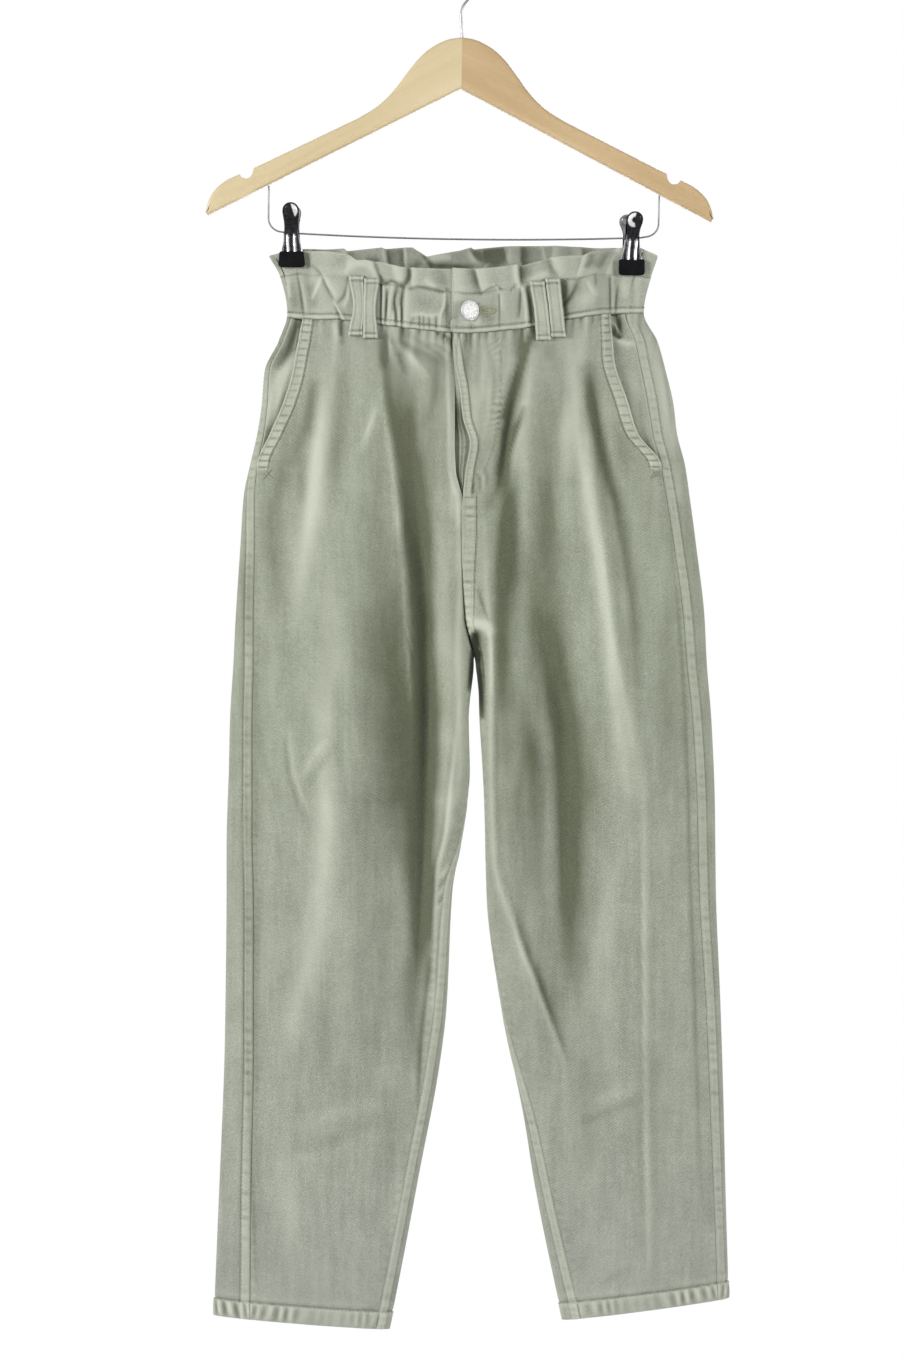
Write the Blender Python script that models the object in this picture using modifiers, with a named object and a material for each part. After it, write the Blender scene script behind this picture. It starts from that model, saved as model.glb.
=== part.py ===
# Paper-bag waist jeans hanging flat from a wooden hanger with two metal clips.
# Metres, +Z up, the front faces -Y, and the origin is the inner top of the hook.
# Left and right are as seen from the front. The tables below are in millimetres, and
# a drop is a distance down from the top of the hanger's wood.

import math

import bmesh
import bpy
import numpy as np
from mathutils import Matrix

MM = 0.001
GAP = 0.3                     # clearance between pieces that meet

HOOK_RISE = 85.0              # inner top of the hook above the top of the wood
HANGER_TILT = 0.8             # degrees, the right end hangs lower
HANGER_SHIFT = 1.6            # the wood's middle from the hook's, before the tilt

CLOTH = 1.2                   # one layer of twill
BAND_CLOTH = 1.6              # the waistband is a doubled layer
HEM_OUT = 0.6                 # how far a turned-up hem stands proud
HEM_WALL = 2.6                # wall of a turned-up hem
HEM_HEIGHT = 15.0

FRILL_TOP = 184.0             # nominal drops of the main lines
CHANNEL_TOP = 207.0
WAIST_SEAM = 240.0
SPLIT_START = 400.0           # the hips begin to part into two legs
CROTCH = 540.0
HEM = 1118.0

FRONT_COLUMNS = 12
BACK_COLUMNS = 14
BAND_STEP = 5.4               # width of one facet of the gathered waistband
POCKET_ROWS = 8               # rows of the front's points that a facing takes
FLY_ROWS = 9                  # and that the fly shield takes
BUTTON_STAND = 8              # columns of the right band that the left one runs under
LAP_STEP = 5.0                # the left band steps down this far before the right one starts

CLIP_X = 148.0
PINCH_HALF = 14.0             # half the width that a clip presses flat
PINCH_DEPTH = 1.9             # half the thickness of the two bands in a clip

# One row for each section of a half: drop, outer edge, how far the side seam and the
# pocket's edge lie in from that edge, inner edge (fly or centre seam, then inside leg),
# and how far the inside leg seam lies in from it.
SECTION_COLUMNS = ("drop", "outer", "side", "pocket", "inner", "inseam")
SECTIONS = {
    "left": (
        (185, -168, 5, 14, -8, 0),
        (207, -158, 4, 14, -8, 0),
        (240, -152, 3, 14, -8, 0),
        (265, -159, 3, 18, -7, 0),
        (290, -171, 4, 25, -6, 0),
        (320, -174, 5, 20, -6, 0),
        (345, -178, 6, 13, -6, 0),
        (371, -184, 7, 7, -5, 0),
        (400, -190, 10, 10, 1, 0),
        (445, -193, 13, 13, 1, 0),
        (505, -197, 16, 16, 3, 0),
        (545, -199, 18, 18, 11, 0),
        (595, -202, 20, 20, 6, 0),
        (640, -203, 21, 21, 7, 0),
        (665, -204, 22, 22, 5, 0),
        (705, -205, 23, 23, -1, 3),
        (745, -205, 24, 24, -8, 8),
        (845, -206, 25, 25, -13, 11),
        (895, -207, 26, 26, -19, 12),
        (995, -211, 28, 28, -38, 12),
        (1118, -216, 32, 32, -63, 12),
    ),
    "right": (
        (185, 171, 13, 27, -8, 0),
        (207, 165, 14, 28, -8, 0),
        (240, 159, 16, 30, -8, 0),
        (265, 171, 20, 40, -6, 0),
        (290, 178, 22, 44, -2, 0),
        (320, 185, 23, 41, 1, 0),
        (345, 188, 22, 36, 7, 0),
        (373, 195, 22, 22, 3, 0),
        (400, 199, 21, 21, 1, 0),
        (445, 205, 20, 20, 1, 0),
        (505, 212, 19, 19, 4, 0),
        (545, 214, 18, 18, 13, 0),
        (595, 218, 17, 17, 16, 0),
        (665, 221, 16, 16, 20, 0),
        (745, 222, 15, 15, 22, 0),
        (845, 226, 13, 13, 35, 2),
        (945, 229, 12, 12, 55, 10),
        (995, 230, 11, 11, 63, 13),
        (1118, 233, 10, 10, 88, 16),
    ),
}

# Half the thickness of the hanging garment, over the whole width and over one leg.
DEPTHS = (
    # drop, whole, leg
    (185, 22, 16),
    (240, 28, 18),
    (300, 34, 20),
    (375, 36, 22),
    (445, 34, 24),
    (545, 28, 24),
    (665, 24, 21),
    (845, 20, 18),
    (1118, 17, 16),
)

# How much lower the front lies at the middle than at the clips, and the same behind.
SAGS = (
    # drop, front, back
    (185, 17, -2),
    (207, 16, -2),
    (240, 18, 0),
    (365, 8, 0),
    (505, 0, 0),
)
SAG_REACH = 145.0
CORNER_DROOP = 0.28           # the frill falls away outside the clips
HEM_TILTS = {"left": (-140.0, 1.5, 0.08), "right": (161.0, -10.0, -0.132)}
HEM_TILT_START = 960.0

# The largest folds: half, face, drop and x at the top, middle and bottom, half width,
# height (a valley is below zero).
FOLDS = (
    ("left", "front", (242, -70), (420, -55), (720, -46), 11, 6.0),
    ("left", "front", (250, -40), (480, -36), (800, -34), 14, -7.0),
    ("left", "front", (245, -111), (350, -121), (470, -134), 14, 4.5),
    ("left", "front", (300, -98), (330, -118), (420, -124), 12, -3.5),
    ("left", "front", (560, -95), (640, -104), (700, -113), 16, -3.5),
    ("left", "front", (930, -200), (950, -130), (960, -60), 16, 2.5),
    ("right", "front", (244, 57), (340, 38), (440, 18), 10, -6.0),
    ("right", "front", (244, 103), (480, 124), (790, 155), 13, 5.5),
    ("right", "front", (280, 108), (360, 122), (420, 138), 10, -4.0),
    ("right", "front", (700, 150), (900, 158), (1118, 164), 9, 3.0),
    ("right", "front", (540, 84), (600, 88), (640, 58), 14, -3.5),
    ("right", "front", (740, 36), (830, 58), (940, 98), 15, -3.0),
    ("left", "back", (250, -60), (430, -75), (700, -90), 14, 5.0),
    ("left", "back", (300, -30), (480, -60), (640, -110), 13, -5.0),
    ("left", "back", (700, -60), (860, -100), (980, -150), 15, 3.0),
    ("right", "back", (250, 66), (430, 84), (700, 104), 14, 5.0),
    ("right", "back", (300, 36), (470, 66), (650, 120), 13, -5.0),
    ("right", "back", (690, 70), (880, 112), (1010, 165), 15, 3.0),
)

GATHER_PITCH = 20.0
GATHER_HEIGHT = 1.9

# Each loop: name, x at its top and at its bottom, and which face it is sewn to.
LOOPS = (
    ("belt_loop_1", -91.5, -91.5, "front"),
    ("belt_loop_2", -77.5, -77.5, "front"),
    ("belt_loop_3", 66.0, 71.0, "front"),
    ("belt_loop_4", 79.5, 84.0, "front"),
    ("belt_loop_5", -7.0, -7.0, "back"),
    ("belt_loop_6", 7.0, 7.0, "back"),
)
LOOP_WIDTH = 12.0
LOOP_TOP = 204.0
LOOP_BOTTOM = 256.0
LOOP_CLOTH = 1.6
LOOP_BOW = 1.2                # how far a loop stands off at its middle

BUTTON_X = 7.0
BUTTON_DROP = 221.5           # nominal, on the waistband's channel
BUTTON_RADIUS = 9.0
UNDERLAP = 0.5                # clearance between two layers that lie on each other

BAR_LEFT = -165.0             # the bar's two ends, before the hanger is tilted
BAR_RIGHT = 175.5
BAR_DROP = 171.3
BAR_SAG = 4.3
BAR_RADIUS = 1.1
BAR_CORNER = 12.0
BAR_TOP_GAP = 0.9             # measured down from the sloping underside of the wood
WOOD_UNDER = 44.5             # underside of the wood at the middle
WOOD_SLOPE = math.tan(math.radians(27.3))
WOOD_THICK = 12.0
WOOD_ROUND = 2.0

# Top edge of half the hanger: distance from the middle, drop.
WOOD_TOP = (
    (0.15, 0.0), (10, 1.5), (20, 5.5), (30, 12.0), (40, 22.0), (48, 32.5), (56, 43.5),
    (64, 53.0), (75, 62.7), (90, 72.0), (180, 116.6), (181.5, 126.0), (186, 129.0),
    (190.5, 127.0), (192, 122.0), (201, 126.0), (209, 131.5), (215.5, 138.5), (219.5, 147.0),
    (221.5, 155.6),
)

HOOK_WIRE = 1.7               # radius of the hook's wire
HOOK_INNER = 19.0             # radius inside the hook
CLIP_DROPS = {"left": 186.5, "right": 193.5}   # top of each clip's rubber jaws
CLIP_METAL = 1.0
CLIP_WIDTH = 14.0
JAW_WIDTH = 22.4
JAW_HEIGHT = 14.0
JAW_THICK = 3.6
SPRING_RADIUS = 4.2

HALVES = ("left", "right")
FACES = ("front", "back")

PART_NAME = "jeans_on_clip_hanger"


# ---------------------------------------------------------------- scene helpers

def clear_scene():
    for old in list(bpy.data.objects):
        bpy.data.objects.remove(old, do_unlink=True)


def part_collection():
    group = bpy.data.collections.get(PART_NAME) or bpy.data.collections.new(PART_NAME)
    if PART_NAME not in bpy.context.scene.collection.children:
        bpy.context.scene.collection.children.link(group)
    return group


def material(name, colour, roughness, metallic=0.0):
    found = bpy.data.materials.get(name)
    if found:
        return found
    made = bpy.data.materials.new(name)
    made.use_nodes = True
    shader = made.node_tree.nodes["Principled BSDF"]
    shader.inputs["Base Color"].default_value = (*colour, 1.0)
    shader.inputs["Roughness"].default_value = roughness
    shader.inputs["Metallic"].default_value = metallic
    return made


def twill():
    return material("sage_twill", (0.36, 0.38, 0.29), 0.9)


def chrome():
    return material("chromed_steel", (0.75, 0.76, 0.77), 0.15, 1.0)


def add_object(name, mesh, finish, smooth=False):
    made = bpy.data.objects.new(name, mesh)
    mesh.materials.clear()
    mesh.materials.append(finish)
    part_collection().objects.link(made)
    if smooth:
        mesh.shade_smooth()
        mesh.set_sharp_from_angle(angle=math.radians(40))
    return made


def at(x, y, drop):
    """A place in millimetres, with its drop from the top of the wood, in metres."""
    return (x * MM, y * MM, -(HOOK_RISE + drop) * MM)


def tilt_to_hanger(made):
    """Turn a piece of the hanger about the hook, so that its right end hangs lower."""
    made.matrix_world = Matrix.Rotation(math.radians(HANGER_TILT), 4, "Y") @ made.matrix_world


# ---------------------------------------------------------------- the garment's surface

def smoothstep(value, low, high):
    t = np.clip((value - low) / (high - low), 0.0, 1.0)
    return t * t * (3.0 - 2.0 * t)


def smooth_table(rows, column, drop):
    """Read one column at a drop, easing through its rows without overshoot."""
    rows = np.asarray(rows, float)
    x, y = rows[:, 0], rows[:, column]
    slope = np.diff(y) / np.diff(x)
    inner = np.where(slope[1:] * slope[:-1] > 0,
                     2 * slope[1:] * slope[:-1] / (slope[1:] + slope[:-1] + 1e-12), 0.0)
    tangent = np.concatenate(([slope[0]], inner, [slope[-1]]))
    drop = np.clip(drop, x[0], x[-1])
    i = np.clip(np.searchsorted(x, drop) - 1, 0, len(x) - 2)
    h = x[i + 1] - x[i]
    t = (drop - x[i]) / h
    return (y[i] * (1 + 2 * t) * (1 - t) ** 2 + tangent[i] * h * t * (1 - t) ** 2
            + y[i + 1] * t * t * (3 - 2 * t) + tangent[i + 1] * h * t * t * (t - 1))


def section(half, name, drop):
    return smooth_table(SECTIONS[half], SECTION_COLUMNS.index(name), drop)


def centre_back(drop):
    return np.interp(drop, (SPLIT_START, CROTCH), (0.0, 12.0))


def inner_edge(half, drop, front):
    """The fly and centre seam in front, a straight seam behind, one edge on the leg."""
    away = GAP / 2 if half == "right" else -GAP / 2
    seam = np.where(front, section(half, "inner", drop), centre_back(drop))
    return np.where(drop < CROTCH, seam + away, section(half, "inner", drop))


def wrap_angle(half, name, drop):
    """The angle round the section at which a seam lies this far in from its edge."""
    width = np.abs(section(half, "inner", drop) - section(half, "outer", drop))
    turn = np.arccos(1.0 - 2.0 * np.clip(section(half, name, drop), 0, width) / width)
    return math.pi - turn if name == "inseam" else turn


def fold_height(half, front, x, drop):
    """Sum of the fold table: each fold is a soft ridge along a bent line, tapered at both ends."""
    total = np.zeros(np.shape(x))
    for fold_half, face, top, middle, bottom, reach, height in FOLDS:
        if fold_half != half:
            continue
        along = (drop - top[0]) / (bottom[0] - top[0])
        bend = (middle[0] - top[0]) / (bottom[0] - top[0])
        line = np.where(along < bend,
                        np.interp(along, (0, bend), (top[1], middle[1])),
                        np.interp(along, (bend, 1), (middle[1], bottom[1])))
        taper = np.sin(math.pi * np.clip(along, 0, 1)) ** 0.8
        ridge = height * taper * np.exp(-((x - line) / reach) ** 2)
        total = total + np.where(front == (face == "front"), ridge, 0.0)
    return total


def gather_height(x, drop, front):
    """Even gathers in the band that die away over the hips, flat in the clips and under loops."""
    wave = np.cos(2 * math.pi * x / GATHER_PITCH + 0.9 * np.sin(x / 31.0))
    fade = 1.0 - 0.6 * smoothstep(drop, WAIST_SEAM - 18, WAIST_SEAM)
    fade = fade * (1.0 - smoothstep(drop, WAIST_SEAM, WAIST_SEAM + 60))
    neck = 1.0 - 0.6 * np.exp(-((drop - CHANNEL_TOP) / 4.0) ** 2)
    flat = np.ones(np.shape(x))
    for _, top_x, bottom_x, face in LOOPS:
        across = np.abs(x - (top_x + bottom_x) / 2)
        hold = smoothstep(across, LOOP_WIDTH / 2 + 1, LOOP_WIDTH + 4)
        flat = np.where(front == (face == "front"), flat * hold, flat)
    buttoned = smoothstep(np.abs(x - BUTTON_X), BUTTON_RADIUS, 2 * BUTTON_RADIUS)
    flat = np.where(front, flat * buttoned, flat)
    return GATHER_HEIGHT * wave * fade * neck * flat


def pinch(x, drop):
    """One where a clip presses front and back together, fading to nothing over the hips."""
    across = np.maximum(np.abs(np.abs(x) - CLIP_X) - PINCH_HALF, 0.0)
    return np.exp(-(across / 11.0) ** 2) * (1.0 - smoothstep(drop, 208, 290))


def surface(half, turn, drop):
    """Outer face of the garment at an angle round half its section and a nominal drop.

    A half runs from its outer edge (0) over the front to the middle (pi), and from the
    outer edge over the back to the middle (-pi). Below the crotch it is a closed leg.
    """
    front = np.sin(turn) >= 0
    outer = section(half, "outer", drop)
    inner = inner_edge(half, drop, front)
    x = outer + (inner - outer) * (1.0 - np.cos(turn)) / 2.0
    legs = smoothstep(drop, SPLIT_START, CROTCH)
    side = np.where(front, 1.0, -1.0)
    whole = smooth_table(DEPTHS, 1, drop) * np.abs(np.sin(turn / 2)) ** 0.7
    leg = smooth_table(DEPTHS, 2, drop) * np.abs(np.sin(turn)) ** 0.8
    depth = (1 - legs) * whole + legs * leg
    pressed = np.minimum(depth, PINCH_DEPTH)
    hold = pinch(x, drop)
    depth = pressed + (depth - pressed) * (1 - hold)
    edge = np.abs(np.sin(turn / 2)) * np.where(drop < SPLIT_START, 1.0, np.abs(np.sin(turn)) ** 0.5)
    wave = fold_height(half, front, x, drop) * smoothstep(drop, WAIST_SEAM, WAIST_SEAM + 60)
    wave = wave + gather_height(x, drop, front)
    y = -side * (depth + wave * np.minimum(edge * 1.6, 1.0) * (1 - hold))
    sag = np.cos(math.pi / 2 * np.clip(np.abs(x) / SAG_REACH, 0, 1)) ** 2
    dip = np.where(front, smooth_table(SAGS, 1, drop), smooth_table(SAGS, 2, drop))
    pivot, shift, slope = HEM_TILTS[half]
    hem = (shift + slope * (x - pivot)) * smoothstep(drop, HEM_TILT_START, HEM)
    corner = CORNER_DROOP * np.maximum(np.abs(x) - CLIP_X, 0) * (1 - smoothstep(drop, FRILL_TOP, WAIST_SEAM))
    return np.stack((x, y, drop + sag * dip + hem + corner), axis=-1)


def surface_normal(half, turn, drop):
    """Outward unit normal of the surface, by differences a hair to either side."""
    step = 0.02
    bound = np.where(drop < CROTCH, math.pi, 3 * math.pi)
    ahead = surface(half, np.minimum(turn + step, bound), drop)
    behind = surface(half, np.maximum(turn - step, -bound), drop)
    below = surface(half, turn, drop + 1.0)
    above = surface(half, turn, drop - 1.0)
    normal = np.cross(ahead - behind, below - above)
    if half == "right":
        normal = -normal
    return normal / np.linalg.norm(normal, axis=-1, keepdims=True)


def turn_at(half, x, drop, front=True):
    """The angle round the section at which the surface has this x."""
    outer = section(half, "outer", drop)
    inner = inner_edge(half, drop, np.full(np.shape(drop), front))
    turn = np.arccos(np.clip(1.0 - 2.0 * (x - outer) / (inner - outer), -1.0, 1.0))
    return turn if front else -turn


def step_back(half, turn, drop, distance):
    """Move an angle by a distance along the surface."""
    reach = surface(half, turn + 0.02, drop) - surface(half, turn - 0.02, drop)
    return turn + distance * 0.04 / np.linalg.norm(reach, axis=-1)


# ---------------------------------------------------------------- walls of cloth

def wall_mesh(name, outside, inside):
    """Close two matching grids of points into one wall, its outside first."""
    rows, columns = outside.shape[:2]
    points = np.concatenate((outside.reshape(-1, 3), inside.reshape(-1, 3)))
    points = [at(*point) for point in points]
    count = rows * columns

    def number(row, column, layer):
        return layer * count + row * columns + column

    faces = []
    for r in range(rows - 1):
        for c in range(columns - 1):
            faces.append([number(r, c, 0), number(r, c + 1, 0), number(r + 1, c + 1, 0), number(r + 1, c, 0)])
            faces.append([number(r, c, 1), number(r + 1, c, 1), number(r + 1, c + 1, 1), number(r, c + 1, 1)])
    rim = [(0, c) for c in range(columns)]
    rim += [(r, columns - 1) for r in range(1, rows)]
    rim += [(rows - 1, c) for c in range(columns - 2, -1, -1)]
    rim += [(r, 0) for r in range(rows - 2, 0, -1)]
    for here, there in zip(rim, rim[1:] + rim[:1]):
        faces.append([number(*here, 0), number(*here, 1), number(*there, 1), number(*there, 0)])
    mesh = bpy.data.meshes.new(name)
    mesh.from_pydata(points, [], faces)
    return mesh


def orient_and_add(name, mesh, finish):
    """Point the faces out, cut them into triangles and link the piece."""
    work = bmesh.new()
    work.from_mesh(mesh)
    bmesh.ops.triangulate(work, faces=work.faces, quad_method="SHORT_EDGE")
    bmesh.ops.recalc_face_normals(work, faces=work.faces)
    if work.calc_volume(signed=True) < 0:
        bmesh.ops.reverse_faces(work, faces=work.faces)
    work.to_mesh(mesh)
    work.free()
    return add_object(name, mesh, finish)


def cloth_wall(half, turns, drops, wall, lift=0.0):
    """A wall on the garment's surface: its outer face lifted, its inner face a wall below."""
    points = surface(half, turns, drops)
    normals = surface_normal(half, turns, drops)
    lift = np.broadcast_to(lift, turns.shape)[..., None]
    wall = np.broadcast_to(wall, turns.shape)[..., None]
    outside = points + normals * lift
    inside = outside - normals * wall
    return outside, inside


def panel_drops():
    """Nominal drops of a panel's rows, closer over the hips, at the crotch and at the hem."""
    hips = np.linspace(WAIST_SEAM + GAP / 2, 376, 8)
    rise = np.linspace(400, CROTCH, 6)
    leg = np.linspace(CROTCH + 30, HEM - HEM_HEIGHT - 40, 9)
    hem = np.array((HEM - HEM_HEIGHT - 1.0, HEM - HEM_HEIGHT + 0.5, HEM))
    return np.concatenate((hips, rise, leg, hem))


def panel_grid(half, face):
    """The angles and nominal drops of a panel's points, from its outer to its inner seam."""
    drops = panel_drops()
    leg = drops >= CROTCH
    side = wrap_angle(half, "side", drops)
    inseam = wrap_angle(half, "inseam", drops)
    if face == "front":
        start = step_back(half, np.maximum(side, wrap_angle(half, "pocket", drops)), drops, GAP / 2)
        end = np.where(leg, step_back(half, inseam, drops, -GAP / 2), math.pi)
        columns = FRONT_COLUMNS
    else:
        start = step_back(half, side, drops, -GAP / 2)
        end = np.where(leg, step_back(half, inseam, drops, GAP / 2) - 2 * math.pi, -math.pi)
        columns = BACK_COLUMNS
    across = np.linspace(0, 1, columns + 1)
    turns = start[:, None] + (end - start)[:, None] * across
    return turns, np.broadcast_to(drops[:, None], turns.shape)


def add_panel(half, face):
    """A front or back panel from the waist seam to its turned-up hem."""
    turns, rows = panel_grid(half, face)
    thick = rows > HEM - HEM_HEIGHT
    outside, inside = cloth_wall(half, turns, rows, np.where(thick, HEM_WALL, CLOTH),
                                 np.where(thick, HEM_OUT, 0.0))
    name = face + "_" + half
    orient_and_add(name, wall_mesh(name, outside, inside), twill())


def add_pocket_facing(half):
    """The hip piece that shows in the pocket's mouth, from the front's own points, one layer in."""
    turns, rows = panel_grid(half, "front")
    turns, rows = turns[:POCKET_ROWS], rows[:POCKET_ROWS]
    drops = rows[:, 0]
    start = step_back(half, wrap_angle(half, "side", drops), drops, CLOTH)
    seen = start[:, None] + (turns[:, 0] - start)[:, None] * np.linspace(0, 1, 4)
    turns = np.concatenate((seen, turns[:, 1:3]), axis=1)
    rows = np.broadcast_to(drops[:, None], turns.shape)
    outside, inside = cloth_wall(half, turns, rows, CLOTH, -(CLOTH + UNDERLAP))
    name = "pocket_facing_" + half
    orient_and_add(name, wall_mesh(name, outside, inside), twill())


def add_fly_shield():
    """The under-layer of the fly, from the points of both fronts, one layer in."""
    parts = []
    for half, columns in (("left", slice(-4, None)), ("right", slice(-1, -6, -1))):
        turns, rows = panel_grid(half, "front")
        turns, rows = turns[:FLY_ROWS, columns], rows[:FLY_ROWS, columns]
        parts.append(cloth_wall(half, turns, rows, CLOTH, -(CLOTH + UNDERLAP)))
    outside = np.concatenate([part[0] for part in parts], axis=1)
    inside = np.concatenate([part[1] for part in parts], axis=1)
    orient_and_add("fly_shield", wall_mesh("fly_shield", outside, inside), twill())


def band_drops():
    return np.array((FRILL_TOP, (FRILL_TOP + CHANNEL_TOP) / 2, CHANNEL_TOP,
                     (CHANNEL_TOP + WAIST_SEAM) / 2, WAIST_SEAM - GAP / 2))


def front_band_grid(half):
    """Angles and drops of the front band, from its side seam to where the two halves lap."""
    drops = band_drops()
    start = step_back(half, wrap_angle(half, "side", drops), drops, GAP / 2)
    begin = surface(half, start, drops)[:, 0]
    lap = section(half, "inner", drops)
    stop = lap - LAP_STEP if half == "left" else lap + GAP / 2
    columns = int(np.abs(stop - begin).mean() / BAND_STEP)
    along = begin[:, None] + (stop - begin)[:, None] * np.linspace(0, 1, columns + 1)
    rows = np.broadcast_to(drops[:, None], along.shape)
    return turn_at(half, along, rows), rows


def add_front_band(half):
    """Half the gathered front band; the left one runs on under the right one as a button stand."""
    turns, rows = front_band_grid(half)
    outside, inside = cloth_wall(half, turns, rows, BAND_CLOTH)
    if half == "left":
        turns, rows = front_band_grid("right")
        turns, rows = turns[:, :-BUTTON_STAND:-1], rows[:, :-BUTTON_STAND:-1]
        stand = cloth_wall("right", turns, rows, BAND_CLOTH, -(BAND_CLOTH + UNDERLAP))
        outside = np.concatenate((outside, stand[0]), axis=1)
        inside = np.concatenate((inside, stand[1]), axis=1)
    name = "waistband_front_" + half
    orient_and_add(name, wall_mesh(name, outside, inside), twill())


def add_back_band():
    """The gathered back band, round both sides to the side seams."""
    drops = band_drops()
    grids = []
    for half in HALVES:
        start = step_back(half, wrap_angle(half, "side", drops), drops, -GAP / 2)
        tip = start[:, None] * np.array((1.0, 0.4, -0.2, -0.5))
        outer = surface(half, np.full(drops.shape, -0.75), drops)[:, 0]
        middle = -BAND_STEP / 2 if half == "left" else BAND_STEP / 2
        columns = int(np.abs(middle - outer).mean() / BAND_STEP)
        back = outer[:, None] + (middle - outer)[:, None] * np.linspace(0, 1, columns + 1)
        rows = np.broadcast_to(drops[:, None], back.shape)
        turns = np.concatenate((tip, turn_at(half, back, rows, False)), axis=1)
        rows = np.broadcast_to(drops[:, None], turns.shape)
        grids.append(cloth_wall(half, turns, rows, BAND_CLOTH))
    outside = np.concatenate((grids[0][0], grids[1][0][:, ::-1]), axis=1)
    inside = np.concatenate((grids[0][1], grids[1][1][:, ::-1]), axis=1)
    orient_and_add("waistband_back", wall_mesh("waistband_back", outside, inside), twill())


# ---------------------------------------------------------------- trims on the cloth

def face_at(x, drop, face):
    """The surface on the front or the back at this x, whichever half it is in."""
    front = face == "front"
    middle = section("right", "inner", drop) if front else centre_back(drop)
    left = surface("left", turn_at("left", np.minimum(x, middle - GAP), drop, front), drop)
    right = surface("right", turn_at("right", np.maximum(x, middle + GAP), drop, front), drop)
    return np.where((x < middle)[..., None], left, right)


def add_loop(name, top_x, bottom_x, face):
    """A belt loop: a strip over the channel and the waist seam, bowed out between its ends."""
    drops = np.linspace(LOOP_TOP, LOOP_BOTTOM, 9)
    along = np.linspace(0, 1, 9)
    middle = top_x + (bottom_x - top_x) * along
    side = -1.0 if face == "front" else 1.0
    across = np.linspace(-LOOP_WIDTH / 2, LOOP_WIDTH / 2, 3)
    look = np.linspace(-LOOP_WIDTH / 2 - 3, LOOP_WIDTH / 2 + 3, 9)
    near = face_at(middle[:, None] + look, np.broadcast_to(drops[:, None], (9, 9)), face)
    proud = (side * near[..., 1]).max(axis=1)
    proud = np.maximum(proud, np.maximum(np.roll(proud, 1), np.roll(proud, -1)) - 0.6)
    seat = proud + 0.5 + LOOP_BOW * np.sin(math.pi * along)
    place = face_at(middle, drops, face)
    inside = np.stack((middle[:, None] + across, np.broadcast_to((side * seat)[:, None], (9, 3)),
                       np.broadcast_to(place[:, 2][:, None], (9, 3))), axis=-1)
    outside = inside + np.array((0.0, side * LOOP_CLOTH, 0.0))
    orient_and_add(name, wall_mesh(name, outside, inside), twill())


def add_button():
    """A round button on the front of the band, its profile turned about its own axis."""
    across = np.linspace(-BUTTON_RADIUS, BUTTON_RADIUS, 7)
    grid_x, grid_drop = np.meshgrid(BUTTON_X + across, BUTTON_DROP + across)
    within = np.hypot(grid_x - BUTTON_X, grid_drop - BUTTON_DROP) <= BUTTON_RADIUS
    near = face_at(grid_x, grid_drop, "front")[within]
    rim = BUTTON_RADIUS
    profile = ((0.0, 1.8), (rim - 4.2, 1.8), (rim - 3.0, 2.5), (rim - 1.2, 2.8), (rim, 1.9), (rim, 1.0),
               (rim - 1.2, 0.0), (0.0, 0.0))
    mesh = bpy.data.meshes.new("waist_button")
    points = [(r * MM, 0.0, z * MM) for r, z in profile]
    mesh.from_pydata(points, [(i, i + 1) for i in range(len(points) - 1)], [])
    button = add_object("waist_button", mesh, material("pale_metal", (0.78, 0.78, 0.76), 0.35, 0.6), True)
    add_screw(button, 20)
    button.rotation_euler = (math.pi / 2, 0.0, 0.0)
    button.location = at(BUTTON_X, near[:, 1].min() - GAP, near[:, 2].mean())


def add_screw(made, steps):
    """Turn a profile about its own Z axis."""
    screw = made.modifiers.new("turned", "SCREW")
    screw.steps = steps
    screw.render_steps = steps
    screw.use_merge_vertices = True
    screw.merge_threshold = 0.00001


# ---------------------------------------------------------------- the hanger

def curve_mesh(name, curve):
    """A curve's own mesh with its caps welded on."""
    holder = bpy.data.objects.new(name, curve)
    part_collection().objects.link(holder)
    evaluated = holder.evaluated_get(bpy.context.evaluated_depsgraph_get())
    mesh = bpy.data.meshes.new_from_object(evaluated)
    bpy.data.objects.remove(holder, do_unlink=True)
    work = bmesh.new()
    work.from_mesh(mesh)
    bmesh.ops.remove_doubles(work, verts=work.verts, dist=0.00001)
    bmesh.ops.recalc_face_normals(work, faces=work.faces)
    work.to_mesh(mesh)
    work.free()
    return mesh


def wire(name, points, radius, finish):
    """A round wire along a line of points."""
    curve = bpy.data.curves.new(name, "CURVE")
    curve.dimensions = "3D"
    curve.bevel_depth = radius * MM
    curve.bevel_resolution = 2
    curve.use_fill_caps = True
    spline = curve.splines.new("POLY")
    spline.points.add(len(points) - 1)
    for point, place in zip(spline.points, points):
        point.co = (*at(*place), 1.0)
    return add_object(name, curve_mesh(name, curve), finish, True)


def arc(centre_x, centre_drop, radius, start, stop, count):
    """Points on an arc, with its angles in degrees, up from the right."""
    angles = np.radians(np.linspace(start, stop, count))
    return [(centre_x + radius * math.cos(a), 0.0, centre_drop - radius * math.sin(a)) for a in angles]


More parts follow.
